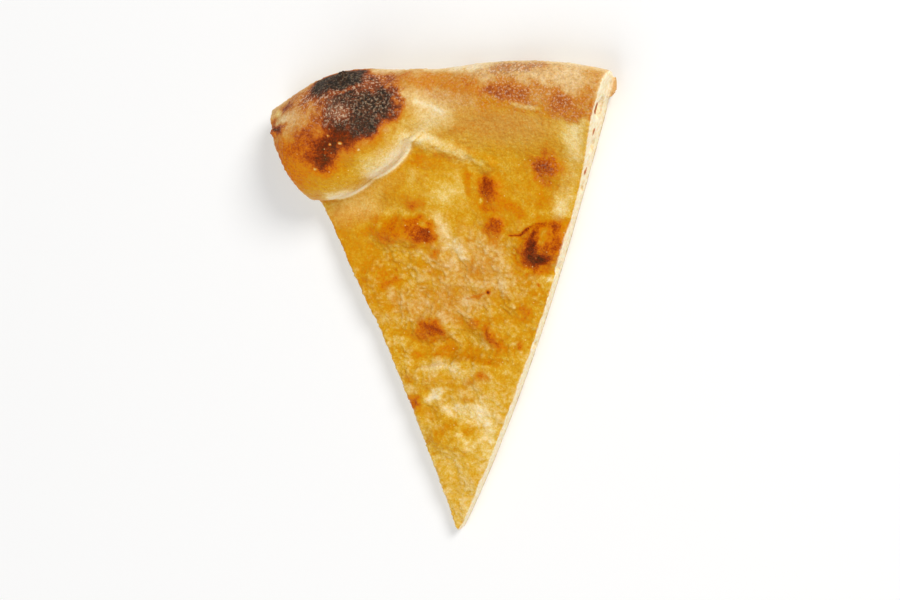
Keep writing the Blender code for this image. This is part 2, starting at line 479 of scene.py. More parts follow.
@dataclass(frozen=True)
class Hole:
    """An air hole of the crumb in a cut side, in metres.

    Attributes:
        side: Which cut side it is in.
        along: Its distance from the slice's point.
        height: Its height.
        half: Its radius.
        depth: How deep it is.
    """

    side: Side
    along: float
    height: float
    half: float
    depth: float

    def sunk(self, along: np.ndarray, height: np.ndarray) -> np.ndarray:
        """How far the hole sinks each place of its side, in metres."""
        far = np.hypot(along - self.along, height - self.height) / self.half
        return self.depth * ease((1.0 - far) * HOLE_WALL)


@dataclass
class Blank:
    """The slice as it is cut from the round, before its top takes shape. Sizes in metres."""

    radius: float = 0.150
    left_cut: float = math.radians(20.6)
    right_cut: float = math.radians(22.4)
    overcut: float = math.radians(3.0)
    body: float = 0.0068
    tip: float = 0.0050
    tip_blunt: float = 0.0015
    rim_height: float = 0.0165
    rim_crest_in: float = 0.0095
    rim_foot_in: float = 0.036
    rim_edge_height: float = 0.0075
    underside_in: float = 0.011
    blister: tuple[Swelling, ...] = (
        Swelling((-0.0340, 0.1268, 0.0112), (0.0200, 0.0172, 0.0136), 18),
        Swelling((-0.0230, 0.1312, 0.0112), (0.0190, 0.0160, 0.0138), 34),
        Swelling((-0.0075, 0.1375, 0.0100), (0.0165, 0.0098, 0.0105), 38),
    )
    hollow: Swelling = Swelling((-0.0478, 0.1245, 0.0128), (0.0110, 0.0066, 0.0052), 20)
    flakes: tuple[Swelling, ...] = (
        Swelling((-0.0225, 0.1462, 0.0180), (0.0026, 0.0018, 0.0007), 60, 10),
        Swelling((-0.0480, 0.1378, 0.0130), (0.0024, 0.0022, 0.0007), 165, 5),
        Swelling((-0.0474, 0.1330, 0.0190), (0.0022, 0.0020, 0.0007), 160, 25),
        Swelling((0.0080, 0.1452, 0.0126), (0.0028, 0.0030, 0.0007), 110, 5),
        Swelling((0.0557, 0.1335, 0.0048), (0.0034, 0.0018, 0.0007), 62, 0),
    )
    rough_cell: float = 0.00075
    fine_cell: float = 0.00044
    corner_steps: int = 6
    slope_steps: int = 8
    level_point: float = 0.2  # share of the radius, for one more point on the level body
    turn_steps: int = 14
    merge_within: float = 0.0000075
    ball_rings: int = 20
    flake_rings: int = 8
    blend_from: float = 0.1330
    blend_above: float = 0.0150
    blend_passes: int = 30
    even_passes: int = 6
    level_below: float = 0.0003
    keep_by_edge: float = 0.0025
    underside_left: float = 0.05

    def profile(self) -> list[tuple[float, float]]:
        """The side view from the point to the rim, as (radius, height) once round."""
        crest = self.radius - self.rim_crest_in
        foot = self.radius - self.rim_foot_in
        rise = self.rim_height - self.rim_edge_height
        fall = self.rim_height - self.body
        steps = range(self.corner_steps + 1)
        turns = [math.radians(90.0 / self.corner_steps * step) for step in steps]
        points = [(self.tip_blunt, 0.0)]
        for turn in turns[:-1]:  # lower outer corner
            reach = self.radius - self.underside_in * (1.0 - math.sin(turn))
            points.append((reach, self.rim_edge_height * (1.0 - math.cos(turn))))
        for turn in turns:  # upper outer corner, up to the crest
            reach = crest + self.rim_crest_in * math.cos(turn)
            points.append((reach, self.rim_edge_height + rise * math.sin(turn)))
        for step in range(1, self.slope_steps + 1):  # long inner slope down to the body
            share = step / self.slope_steps
            reach = crest + (foot - crest) * share
            points.append((reach, self.body + fall * (1.0 - float(ease(share)))))
        points.append((self.radius * self.level_point, self.body))
        points.append((self.tip_blunt, self.tip))
        return points

    def side_normals(self) -> dict[Side, Vector]:
        """The outward directions of the two cut sides."""
        right, left = self.right_cut, self.left_cut
        return {
            Side.RIGHT: Vector((math.cos(right), -math.sin(right), 0.0)),
            Side.LEFT: Vector((-math.cos(left), -math.sin(left), 0.0)),
        }

    def turned_body(self) -> bpy.types.Object:
        """Turns the side view about the upright axis through the point.

        Returns:
            The closed body, a little wider than the slice on both sides.
        """
        profile = self.profile()
        bpy.ops.mesh.primitive_circle_add(
            vertices=len(profile), radius=self.radius, fill_type="NGON"
        )
        blank = Hand.new_piece("baked_focaccia_slice")
        start = Matrix.Rotation(self.left_cut + self.overcut, 3, "Z")
        corners = [start @ Vector((0.0, reach, height)) for reach, height in profile]
        Hand.put_points(blank, np.array(corners))
        angle = self.left_cut + self.right_cut + 2.0 * self.overcut

        def spin() -> None:
            """Spins the side view from the left side to the right."""
            bpy.ops.mesh.spin(
                steps=self.turn_steps, dupli=False, angle=angle, center=(0, 0, 0), axis=(0, 0, 1)
            )

        def face_out() -> None:
            """Turns all the faces outwards."""
            bpy.ops.mesh.select_all(action="SELECT")
            bpy.ops.mesh.remove_doubles(threshold=self.merge_within)
            bpy.ops.mesh.normals_make_consistent(inside=False)

        Hand.edit(blank, None, spin, face_out)
        return blank

    def blend_blister(self, blank: bpy.types.Object) -> None:
        """Smooths the blister into the rim, so that only its inner edge stays sharp."""
        places = Hand.points(blank)
        reach, height = np.hypot(places[:, 0], places[:, 1]), places[:, 2]
        outer = (height > self.blend_above) | ((reach > self.blend_from) & (height > self.body / 2))
        self.smooth(blank, outer, self.blend_passes)

    @staticmethod
    def smooth(blank: bpy.types.Object, mask: np.ndarray | None, passes: int) -> None:
        """Smooths some vertices this many times."""
        Hand.edit(blank, mask, lambda: bpy.ops.mesh.vertices_smooth(factor=0.5, repeat=passes))

    def cut_sides(self, blank: bpy.types.Object) -> None:
        """Cuts the blank along the slice's two sides and closes it."""
        for normal in self.side_normals().values():
            Hand.edit(
                blank,
                None,
                lambda: bpy.ops.mesh.bisect(
                    plane_co=(0, 0, 0), plane_no=normal, use_fill=True, clear_outer=True
                ),
            )

    def hollow_out(self, blank: bpy.types.Object) -> None:
        """Takes the blister's air pocket out of the cut side."""
        pocket = self.hollow.model(self.ball_rings)
        Hand.finish_with(blank, "BOOLEAN", operation="DIFFERENCE", object=pocket)
        bpy.data.objects.remove(pocket, do_unlink=True)

    def skin(self, blank: bpy.types.Object, cell: float) -> None:
        """Puts one even skin of small cells round everything in the mesh."""
        Hand.finish_with(blank, "REMESH", mode="VOXEL", voxel_size=cell)

    def thin_underside(self, blank: bpy.types.Object) -> None:
        """Joins the small cells of the level underside, away from its edges."""
        places = Hand.points(blank)
        level = places[:, 2] < self.level_below
        for normal in self.side_normals().values():
            level &= places @ np.array(normal) < -self.keep_by_edge
        reach = np.hypot(places[:, 0], places[:, 1])
        level &= reach < self.radius - self.underside_in - self.keep_by_edge
        ratio = self.underside_left
        Hand.edit(blank, level, lambda: bpy.ops.mesh.decimate(ratio=ratio))

    def model(self) -> bpy.types.Object:
        """Makes the cut blank with its fine skin.

        Returns:
            The object, its point at the origin.
        """
        blank = self.turned_body()
        Hand.join(blank, [swelling.model(self.ball_rings) for swelling in self.blister])
        self.skin(blank, self.rough_cell)
        self.blend_blister(blank)
        self.cut_sides(blank)
        self.hollow_out(blank)
        Hand.join(blank, [flake.model(self.flake_rings) for flake in self.flakes])
        self.skin(blank, self.fine_cell)
        self.smooth(blank, None, self.even_passes)
        self.thin_underside(blank)
        return blank


@dataclass
class Surface:
    """The vertices of the slice, with what the relief and the browning need to know of each.

    Attributes:
        blank: The sizes of the cut blank.
        straight: Their places in the cut blank, before it is bowed.
        places: Their places in the plan of the real slice.
        normals: Their outward directions.
    """

    blank: Blank
    straight: np.ndarray
    places: np.ndarray
    normals: np.ndarray
    cut_near: float = 0.0006
    blister_out: float = 1.13
    blister_edge: float = 0.08
    blister_run_out: float = 0.50
    run_out_from: float = 0.1365
    run_out_right: float = -0.0100
    run_out_over: float = 0.0080
    cut_level: float = 0.80  # steeper places than this can be on a cut side
    cut_over: float = 0.35

    def __post_init__(self) -> None:
        """Works out the reach, the cut sides and the blister once."""
        self.reach = np.hypot(self.straight[:, 0], self.straight[:, 1])
        self.inside = {
            side: -(self.straight @ np.array(normal))
            for side, normal in self.blank.side_normals().items()
        }
        nearness = [swelling.nearness(self.straight) for swelling in self.blank.blister]
        # The blister ends in a sharp line on the body, and runs out softly along the rim
        on_rim = ease((self.reach - self.run_out_from) / self.run_out_over)
        on_rim *= ease((self.straight[:, 0] - self.run_out_right) / self.run_out_over)
        edge = self.blister_edge + self.blister_run_out * on_rim
        self.blister = ease((self.blister_out - np.min(nearness, axis=0)) / edge)

    @property
    def height(self) -> np.ndarray:
        """The heights of all the places."""
        return self.places[:, 2]

    @property
    def facing_up(self) -> np.ndarray:
        """How far each place faces up, from -1 to 1."""
        return self.normals[:, 2]

    def cut(self, side: Side) -> np.ndarray:
        """Share by which each place is on a cut side's face, or in one of its air holes."""
        near = ease((self.cut_near - self.inside[side]) / self.cut_near + 0.5)
        level = np.abs(self.facing_up)
        in_hole = ease(self.in_holes(side, AIR_HOLES) / self.cut_near)
        return near * np.maximum(ease((self.cut_level - level) / self.cut_over), in_hole)

    def in_holes(self, side: Side, holes: Sequence["Hole"]) -> np.ndarray:
        """How far the holes of one cut side sink each place, in metres."""
        height = self.straight[:, 2]
        sunk = [hole.sunk(self.reach, height) for hole in holes if hole.side is side]
        return np.max([np.zeros_like(height), *sunk], axis=0)

    @property
    def cut_face(self) -> np.ndarray:
        """Share by which each place is on either cut side's face."""
        return np.maximum(self.cut(Side.LEFT), self.cut(Side.RIGHT))

    def from_cut(self) -> np.ndarray:
        """Distance of each place from the nearer cut side, in metres."""
        return np.minimum(self.inside[Side.LEFT], self.inside[Side.RIGHT])


BODY_DOMES: tuple[Dome, ...] = (
    Dome(-2.0, 114.0, 18.0, 11.0, 8, 3.0),  # broad bubble below the fold
    Dome(-9.5, 97.0, 15.0, 6.2, -2, 2.8),  # long browned mound
    Dome(36.5, 92.5, 10.5, 8.0, 20, 3.2),  # dark bubble at the right cut
    Dome(20.2, 110.3, 4.0, 6.8, 0, 1.3),
    Dome(19.4, 98.8, 4.4, 4.4, 0, 1.2),
    Dome(39.6, 115.3, 5.8, 5.4, 0, 1.4),
    Dome(-2.3, 67.5, 8.0, 6.0, 10, 2.4),
    Dome(16.8, 64.2, 4.8, 3.6, -40, 1.2),
    Dome(2.0, 32.5, 10.5, 7.8, -10, 2.4),  # bubble near the point
    Dome(-24.0, 106.0, 13.0, 5.0, 10, -1.4),  # dip under the blister
    Dome(5.0, 62.0, 18.0, 5.4, 0, -2.1),  # dip above the step
    Dome(-4.7, 41.2, 5.0, 4.0, 0, -1.2),
    Dome(-24.0, 80.0, 10.0, 14.0, 20, 1.2),
    Dome(26.0, 78.0, 9.0, 9.0, 0, 1.0),
)

AIR_HOLES: tuple[Hole, ...] = (
    Hole(Side.RIGHT, 0.1390, 0.0085, 0.0036, 0.0024),
    Hole(Side.RIGHT, 0.1280, 0.0060, 0.0024, 0.0016),
    Hole(Side.RIGHT, 0.1165, 0.0045, 0.0020, 0.0013),
    Hole(Side.RIGHT, 0.0920, 0.0045, 0.0026, 0.0016),
    Hole(Side.RIGHT, 0.0660, 0.0036, 0.0020, 0.0012),
    Hole(Side.LEFT, 0.0980, 0.0040, 0.0026, 0.0016),
    Hole(Side.LEFT, 0.0800, 0.0036, 0.0020, 0.0012),
    Hole(Side.LEFT, 0.0560, 0.0038, 0.0024, 0.0014),
)

# Small holes with a browned lining
TOASTED_HOLES: tuple[Hole, ...] = (
    Hole(Side.RIGHT, 0.1390, 0.0128, 0.0019, 0.0007),
    Hole(Side.RIGHT, 0.1323, 0.0090, 0.0012, 0.0005),
    Hole(Side.RIGHT, 0.1214, 0.0058, 0.0013, 0.0005),
    Hole(Side.LEFT, 0.1130, 0.0052, 0.0013, 0.0005),
)


@dataclass
class BroadShape:
    """The forms that the slice shares with the CAD solid. Sizes in metres."""

    blank: Blank
    rim_reach: tuple[tuple[float, float], ...] = (
        (-22.0, 0.1470),
        (-11.0, 0.1525),
        (1.0, 0.1475),
        (12.0, 0.1530),
        (22.0, 0.1570),
    )
    reach_from: float = 0.100
    reach_knots: int = 45
    reach_window: int = 9  # knots over which the reach is evened
    bow: float = 0.0045
    bow_power: float = 0.8
    fold: Streak = Streak(((-4.0, 127.0), (3.2, 125.0), (7.5, 123.4), (12.0, 121.0), (20.0, 117.6)), 3.8)
    fold_height: float = 0.0015
    fold_share: float = 0.75
    fold_broken: float = 0.9
    fold_grain: float = 0.0030
    step_y: float = 0.0570
    step_height: float = 0.0017
    step_slope: float = 0.0016
    step_fade: float = 0.0340
    step_bend: float = 0.0052
    step_x: float = 0.0050
    step_half: float = 0.0200
    step_ends: float = 0.0090
    wave_size: float = 0.0180
    wave_height: float = 0.0011
    lump_size: float = 0.0046
    lump_height: float = 0.0009
    lumps_fade: tuple[float, float] = (0.085, 0.120)
    lumps_left: float = 0.35
    flat_below: float = 0.0007
    full_from: float = 0.7  # share of the body's height from which the whole relief shows
    cut_near: float = 0.0006

    def bend_plan(self, x: np.ndarray, y: np.ndarray) -> tuple[np.ndarray, np.ndarray]:
        """Draws the straight plan out to the rim's uneven reach and bows it to the right.

        Args:
            x: Places across the straight slice.
            y: Places along the straight slice.

        Returns:
            The same places in the real slice's plan.
        """
        radius = np.hypot(x, y)
        angle = np.degrees(np.arctan2(x, y))
        degrees, reaches = np.array(self.rim_reach).T
        knots = np.linspace(degrees[0], degrees[-1], self.reach_knots)
        padded = np.pad(np.interp(knots, degrees, reaches), self.reach_window // 2, "edge")
        even = np.convolve(padded, np.ones(self.reach_window) / self.reach_window, "valid")
        reach = np.interp(angle, knots, even) - self.blank.radius
        grow = ease((radius - self.reach_from) / (self.blank.radius - self.reach_from))
        stretch = reach * grow / radius
        x, y = x * (1.0 + stretch), y * (1.0 + stretch)
        share = np.clip(y / self.blank.radius, 0.0, 1.0)
        return x + self.bow * np.sin(math.pi * share**self.bow_power), y

    def top_relief(self, places: np.ndarray) -> np.ndarray:
        """How far the top is raised or sunk over each place, in metres."""
        x, y = places[:, 0], places[:, 1]
        grain = Grain(places)
        total = sum(dome.rise(x, y) for dome in BODY_DOMES)
        broken = self.fold_share + self.fold_broken * grain.soft(self.fold_grain, shift=6.0)
        total += self.fold_height * broken * ease(1.0 - self.fold.spread(x, y))
        edge = self.step_y + self.wave_height * np.sin(x / self.step_bend)
        step = ease((edge - y) / self.step_slope) * ease(1.0 - (edge - y) / self.step_fade)
        step *= ease((self.step_half - np.abs(x - self.step_x)) / self.step_ends)
        near, far = self.lumps_fade
        share = 1.0 - (1.0 - self.lumps_left) * ease((np.hypot(x, y) - near) / (far - near))
        total += self.step_height * step
        total += self.wave_height * grain.soft(self.wave_size)
        return total + self.lump_height * share * grain.soft(self.lump_size)

    def shape(self, straight: np.ndarray) -> np.ndarray:
        """Moves the places of the cut blank to those of the real slice.

        Args:
            straight: The places in the cut blank.

        Returns:
            The places in the plan of the real slice.
        """
        places = straight.copy()
        along = np.hypot(places[:, 0], places[:, 1])
        for side, normal in self.blank.side_normals().items():
            outward = np.array(normal)
            on_cut = places @ outward > -self.cut_near
            holes = [hole for hole in AIR_HOLES if hole.side is side]
            depth = np.max([hole.sunk(along, places[:, 2]) for hole in holes], axis=0)
            places -= (depth * on_cut)[:, None] * outward
        places[:, 0], places[:, 1] = self.bend_plan(places[:, 0], places[:, 1])
        places[:, 2] = np.where(places[:, 2] < self.flat_below, 0.0, places[:, 2])
        height = places[:, 2]
        raised = self.top_relief(places) * ease(height / (self.full_from * self.blank.body))
        places[:, 2] = height + raised
        return places


def blister_mark(shape: Dome | Streak, browning: float, **rest: float) -> Mark:
    """A mark that lies on the blister alone."""
    return Mark(shape, browning, zone=Zone.BLISTER, **rest)


def top_mark(shape: Dome | Streak, browning: float, **rest: float) -> Mark:
    """A dry mark of the blister's top, which runs on over the rim."""
    return Mark(shape, browning, oil=0.0, ragged=0.35, zone=Zone.ALL, **rest)


# Painted in this order, each over the last. Browning goes from 0, pale dough, to 1, char.
# Some marks are painted shade or painted highlights, as said at each.
BODY_MARKS: tuple[Mark, ...] = (
    # Broad tones of the body, from the rim's foot to the point
    Mark(Dome(26, 131, 24, 6, -6), 0.41, oil=0.6),
    Mark(Streak(((22, 137.4), (34, 136.4), (43, 133.6)), 2.0), 0.54, oil=0.9, soft=1.0, zone=Zone.ALL),
    Mark(Dome(43.5, 122, 6, 6, 60), 0.38, oil=0.9),
    Mark(Dome(48, 127, 3.4, 5, 10), 0.24),
    Mark(Dome(22.5, 131.5, 4, 2.2, 30), 0.45),
    # Painted shade on the slope just above the fold
    Mark(Dome(10, 129, 4.5, 2.2, -25), 0.46),
    # Golden crust left of the broad bubble, darkened as painted shade on that side
    Mark(Dome(-10, 115.5, 6, 6, 0), 0.43),
    Mark(Dome(-18.2, 110.7, 11, 4, 25), 0.36, oil=0.85),
    Mark(Dome(-26.9, 105.5, 9, 4, 10), 0.28, oil=0.6),
    Mark(Dome(-8.0, 109.4, 8, 3, 5), 0.40, oil=1.0),
    Mark(Dome(-29, 95, 7, 9, 20), 0.45),
    Mark(Dome(-21.8, 84.5, 6, 5, 0), 0.46),
    Mark(Dome(14, 87, 17, 9, 0), 0.34, oil=0.42),
    Mark(Dome(2, 74, 20, 6, 0), 0.37, oil=0.52),
    Mark(Dome(11, 85.3, 3, 2.4, 30), 0.38),
    Mark(Dome(20.4, 72.6, 6, 3.4, 0), 0.39, oil=1.0),
    Mark(Dome(27.7, 72.5, 4, 3, 0), 0.42, oil=1.0),
    # Painted shade in the dip above the step
    Mark(Dome(8, 60.4, 17, 2.4, 0), 0.39, oil=1.0),
    Mark(Dome(4, 50, 14, 6, 0), 0.34, oil=0.75),
    Mark(Dome(12, 40, 8, 6, 0), 0.28, oil=0.70, soft=1.0),
    Mark(Dome(3, 16, 9, 12, 0), 0.24, oil=0.8),
    # Pale lines and patches, some of them painted highlights, with painted shade along the fold
    # The fold: pale dough, painted paler still as a highlight on its raised edge
    Mark(Streak(((-0.5, 128.6), (4.5, 126.2), (11, 122.8)), 3.2), 0.22, oil=0.8, soft=1.0, ragged=0.4),
    Mark(Dome(1.2, 127.4, 5.6, 2.2, -26), 0.07, oil=0.7, soft=1.0, ragged=0.5),
    Mark(
        Streak(((-2.0, 126.0), (3.2, 124.7), (7.0, 123.2), (10.9, 121.3)), 1.1),
        0.15,
        oil=0.8,
        soft=1.0,
        ragged=1.0,
    ),
    Mark(Streak(((10.9, 121.3), (13.6, 120.0), (17.6, 118.4)), 0.7), 0.20, soft=1.0, ragged=1.4),
    Mark(Streak(((11.4, 122.8), (12.0, 120.4), (12.8, 116.6)), 0.6), 0.16, soft=1.0, ragged=1.2),
    # Painted shade along the fold's upper side
    Mark(Streak(((4.0, 129.6), (9.2, 127.2), (14.0, 123.6), (18.0, 121.0)), 1.4), 0.42, soft=1.0, ragged=0.5),
    # Painted highlight along the long mound's upper edge
    Mark(Streak(((-20, 103.4), (-12, 104.3), (-4, 104.0), (2, 101.4)), 1.0), 0.22, soft=1.0, ragged=0.6),
    Mark(Dome(3.2, 98.4, 4.6, 1.9, -62), 0.06, oil=0.3, ragged=0.5),
    Mark(Streak(((4.5, 95), (8.4, 90.3)), 2.1), 0.18, oil=0.4, soft=1.0, ragged=0.6),
    Mark(
        Streak(((51.5, 131), (49.5, 126), (46.5, 118), (44, 110), (41, 102)), 2.5),
        0.14,
        oil=0.75,
        soft=1.0,
        ragged=0.5,
    ),
    # Painted highlight on the lit right side of the bubble above the step
    Mark(Dome(3.3, 66.3, 2.6, 2.0, -30), 0.14, ragged=0.5),
    Mark(Dome(33.5, 84.5, 5.5, 2.0, -30), 0.14, ragged=0.5),
    Mark(Dome(12.8, 34, 2.8, 6.5, 0), 0.08, ragged=0.4),
    # Painted highlight on the ridge above the pit
    Mark(Dome(-3.9, 45.4, 3.8, 1.8, 35), 0.02, oil=0.3, soft=0.7, ragged=0.5),
    # Broad bubble: bright yellow under orange grains
    Mark(Dome(3.2, 115, 10.8, 8.2, -20), 0.29, soft=0.5, ragged=0.3),
    Mark(Dome(0.8, 117.6, 7.8, 4.2, -14), 0.42, ragged=0.9),
    Mark(Dome(-0.6, 112.6, 3.6, 4.2, 0), 0.43, soft=1.0, ragged=0.9),
    Mark(Dome(7.2, 110.0, 5.4, 4.2, 0), 0.20, ragged=0.5),
    Mark(Dome(4.6, 114.4, 3.0, 2.2, 0), 0.34, soft=1.0, ragged=0.6),
    Mark(Dome(-1.4, 120.2, 2.6, 1.6, 10), 0.50, soft=1.0, ragged=0.6),
    Mark(Dome(5.6, 121.6, 2.4, 1.1, -20), 0.52, soft=1.0, ragged=0.6),
    Mark(Dome(-6.6, 106.6, 3.0, 1.9, -15), 0.65, ragged=0.3),
    Mark(Streak(((12.0, 115), (11.6, 109.4)), 1.0), 0.55, soft=1.0, ragged=0.5),
    # Long mound
    Mark(Dome(-10.6, 98.2, 12.0, 4.8, -4), 0.52, soft=0.7, ragged=0.35),
    Mark(Dome(-12.5, 98.2, 7.8, 3.0, -4), 0.59, ragged=0.5),
    # Painted glint on the long mound
    Mark(Dome(-18.0, 99.8, 1.7, 0.9, 60), 0.30, ragged=0.8),
    Mark(Dome(-10.2, 100.2, 1.3, 1.8, 0), 0.46, soft=1.0, ragged=0.8),
    Mark(Dome(-3.4, 97.8, 4.6, 3.2, -50), 0.72, ragged=0.5),
    Mark(Dome(-2.2, 96.6, 2.8, 2.2, -50), 0.76, soft=1.0, ragged=0.5),
    Mark(Dome(-3.4, 100.4, 1.3, 0.6, -30), 0.34, ragged=0.9),
    Mark(Dome(-0.4, 90.3, 1.6, 1.3, 0), 0.60, ragged=0.3),
    Mark(Streak(((-17.6, 80.8), (-14.0, 83.2)), 1.1), 0.58, soft=1.0, ragged=0.6),
    # Spots to the right of it
    Mark(Dome(20.0, 108.5, 6.6, 7.2, 0), 0.46),
    Mark(Dome(18.6, 109.9, 3.3, 5.4, 3), 0.68, soft=0.5, ragged=0.35),
    Mark(Dome(18.6, 111.0, 1.9, 2.8, 0), 0.74, soft=1.0, ragged=0.4),
    Mark(Dome(16.3, 107.0, 0.7, 0.8, 0), 0.18, ragged=0.3),
    Mark(Streak(((22.5, 106), (25.9, 104.3), (28.3, 102)), 1.6), 0.56, soft=1.0, ragged=0.6),
    Mark(Dome(35.3, 105.6, 3.0, 1.6, 0), 0.52, soft=1.0, ragged=0.6),
    Mark(Dome(19.7, 98.8, 3.3, 3.1, 0), 0.72, soft=0.4, ragged=0.2),
    Mark(Dome(19.7, 98.9, 1.8, 1.6, 0), 0.77, soft=1.0, ragged=0.3),
    Mark(Dome(18.6, 94.8, 1.4, 2.6, 8), 0.52, soft=1.0, ragged=0.3),
    Mark(Dome(38.8, 115.0, 6.6, 6.4, 0), 0.48),
    Mark(Dome(38.3, 116.2, 4.9, 4.2, 0), 0.68, soft=0.45, ragged=0.3, flour=0.2),
    Mark(Dome(37.0, 117.6, 2.6, 1.9, 20), 0.75, soft=1.0, ragged=0.5),
    Mark(Dome(37.9, 111.6, 2.2, 1.6, 0), 0.60, soft=1.0, ragged=0.4),
    # Dark bubble at the right cut: a dark arc round gold flecks
    Mark(Dome(27.6, 92.6, 4.6, 7.0, 10), 0.42, oil=1.0),
    Mark(Streak(((27.4, 90.0), (29.2, 85.8), (33.2, 84.2), (37.0, 85.8)), 1.8), 0.34, oil=1.0, soft=1.0),
    Mark(Dome(40.2, 88.6, 3.4, 1.8, 65), 0.16, oil=0.6, soft=1.0, ragged=0.4),
    Mark(Dome(35.6, 92.6, 10.0, 7.0, 42), 0.57, soft=0.4, ragged=0.2),
    Mark(Dome(35.2, 92.4, 8.2, 5.6, 42), 0.64, soft=0.5, ragged=0.3),
    Mark(Dome(33.6, 90.8, 5.2, 4.0, 50), 0.76, soft=0.7, ragged=0.3),
    Mark(
        Streak(((33.0, 97.0), (31.4, 93.8), (31.2, 90.6), (32.8, 88.2), (34.8, 88.2)), 1.4),
        0.82,
        ragged=0.3,
    ),
    Mark(Dome(31.6, 92.4, 1.6, 2.8, -10), 0.87, soft=1.0, ragged=0.4),
    Mark(Dome(33.8, 88.6, 2.4, 1.7, -10), 0.91, ragged=0.3),
    Mark(Dome(39.6, 93.2, 1.8, 2.6, 10), 0.66, ragged=0.5),
    Mark(Dome(36.0, 96.4, 1.7, 1.1, 30), 0.42, ragged=0.9),
    Mark(Dome(36.8, 94.2, 1.3, 1.3, 0), 0.42, ragged=0.9),
    Mark(Dome(35.0, 91.2, 1.4, 0.9, 30), 0.62, soft=1.0, ragged=0.9),
    Mark(Dome(41.8, 98.2, 2.8, 1.9, 45), 0.54, soft=0.8, ragged=0.4),
    Mark(Dome(40.0, 98.0, 1.1, 1.0, 0), 0.73, soft=1.0, ragged=0.8),
    Mark(
        Streak(((24.4, 96.0), (27.6, 96.2), (29.4, 97.4), (31.0, 98.9), (32.4, 99.3)), 0.30),
        0.78,
        ragged=0.9,
    ),
    Mark(Streak(((32.4, 99.3), (36.6, 99.4)), 0.30), 0.68, soft=1.0, ragged=1.0),
    # Above and below the step
    Mark(Dome(28.1, 71.9, 1.7, 1.6, 0), 0.58, ragged=0.4),
    Mark(Dome(-2.8, 65.4, 6.6, 4.6, 10), 0.40),
    Mark(Dome(-3.0, 67.2, 3.9, 2.9, -10), 0.65, soft=0.7, ragged=0.4),
    Mark(Dome(-2.6, 67.8, 2.2, 1.5, -20), 0.75, soft=1.0, ragged=0.6),
    Mark(Dome(-6.2, 64.8, 2.2, 1.2, 10), 0.62, soft=1.0, ragged=0.5),
    Mark(Dome(10.5, 67.8, 1.9, 1.5, 0), 0.60, ragged=0.4),
    Mark(Dome(16.8, 64.8, 4.4, 2.6, -42), 0.45),
    Mark(Streak(((14.9, 66.9), (16.8, 64.7), (18.6, 61.8)), 1.2), 0.64, soft=1.0, ragged=0.5),
    Mark(Dome(25.9, 61.7, 1.1, 1.5, 0), 0.62, ragged=0.4),
    # Painted shadow along the step's riser
    Mark(
        Streak(((-9, 58.4), (-3.9, 58.9), (6.2, 58.4), (11, 57.6), (17, 56.4)), 1.4),
        0.46,
        oil=1.0,
        soft=1.0,
        ragged=0.6,
    ),
    # Painted highlight on the step's lit edge
    Mark(
        Streak(((-6, 55.0), (0, 55.0), (5, 54.8), (11, 53.4), (15, 52.2)), 1.8),
        0.20,
        oil=0.65,
        soft=1.0,
        ragged=0.7,
    ),
    Mark(Dome(13.0, 51.8, 1.9, 1.3, 10), 0.58, ragged=0.4),
    Mark(Dome(8.8, 50.2, 1.7, 1.3, 0), 0.50, soft=1.0, ragged=0.5),
    Mark(Dome(7.5, 44.2, 2.1, 1.1, 0), 0.46, ragged=0.5),
    Mark(Dome(-11.4, 52.0, 1.8, 1.6, 0), 0.50, oil=1.0, ragged=0.4),
    Mark(Dome(-11.5, 43.4, 2.8, 2.0, 0), 0.68, oil=1.0, ragged=0.4),
    Mark(Dome(-4.7, 41.0, 4.8, 2.4, 0), 0.40, oil=1.0, soft=0.8),
    # Bubble near the point: orange blotches over bright yellow
    Mark(Streak(((1, 40.6), (5, 40.8), (11.2, 38.6), (13.2, 32)), 2.2), 0.13, oil=0.60, soft=1.0, ragged=0.5),
    Mark(Dome(2.0, 32.0, 9.0, 6.6, -8), 0.24, oil=1.0, soft=0.5, ragged=0.3),
    Mark(Streak(((-4.5, 34.4), (0.3, 36.2), (5.8, 36.2), (9.0, 34.4)), 1.4), 0.33, soft=1.0, ragged=0.9),
    Mark(Dome(-1.2, 32.0, 4.2, 3.8, 20), 0.43, soft=0.8, ragged=0.9),
    Mark(Dome(6.9, 34.2, 2.6, 1.9, 0), 0.42, oil=0.9, soft=0.8, ragged=0.6),
    Mark(Dome(2.4, 28.4, 3.4, 2.0, -20), 0.36, soft=1.0, ragged=0.9),
    # Small torn holes
    Mark(Dome(16.2, 78.5, 0.9, 0.5, -40), 0.88, oil=0.2, ragged=0.8),
    Mark(Streak(((9.3, 76.2), (12.6, 76.9), (15.2, 78.2)), 0.25), 0.56, oil=0.2, soft=1.0, ragged=1.4),
    Mark(Dome(29.0, 83.5, 0.7, 0.5, 20), 0.72, soft=1.0, ragged=0.8),
    Mark(Dome(32.7, 79.7, 0.6, 0.5, 0), 0.72, soft=1.0, ragged=0.8),
)

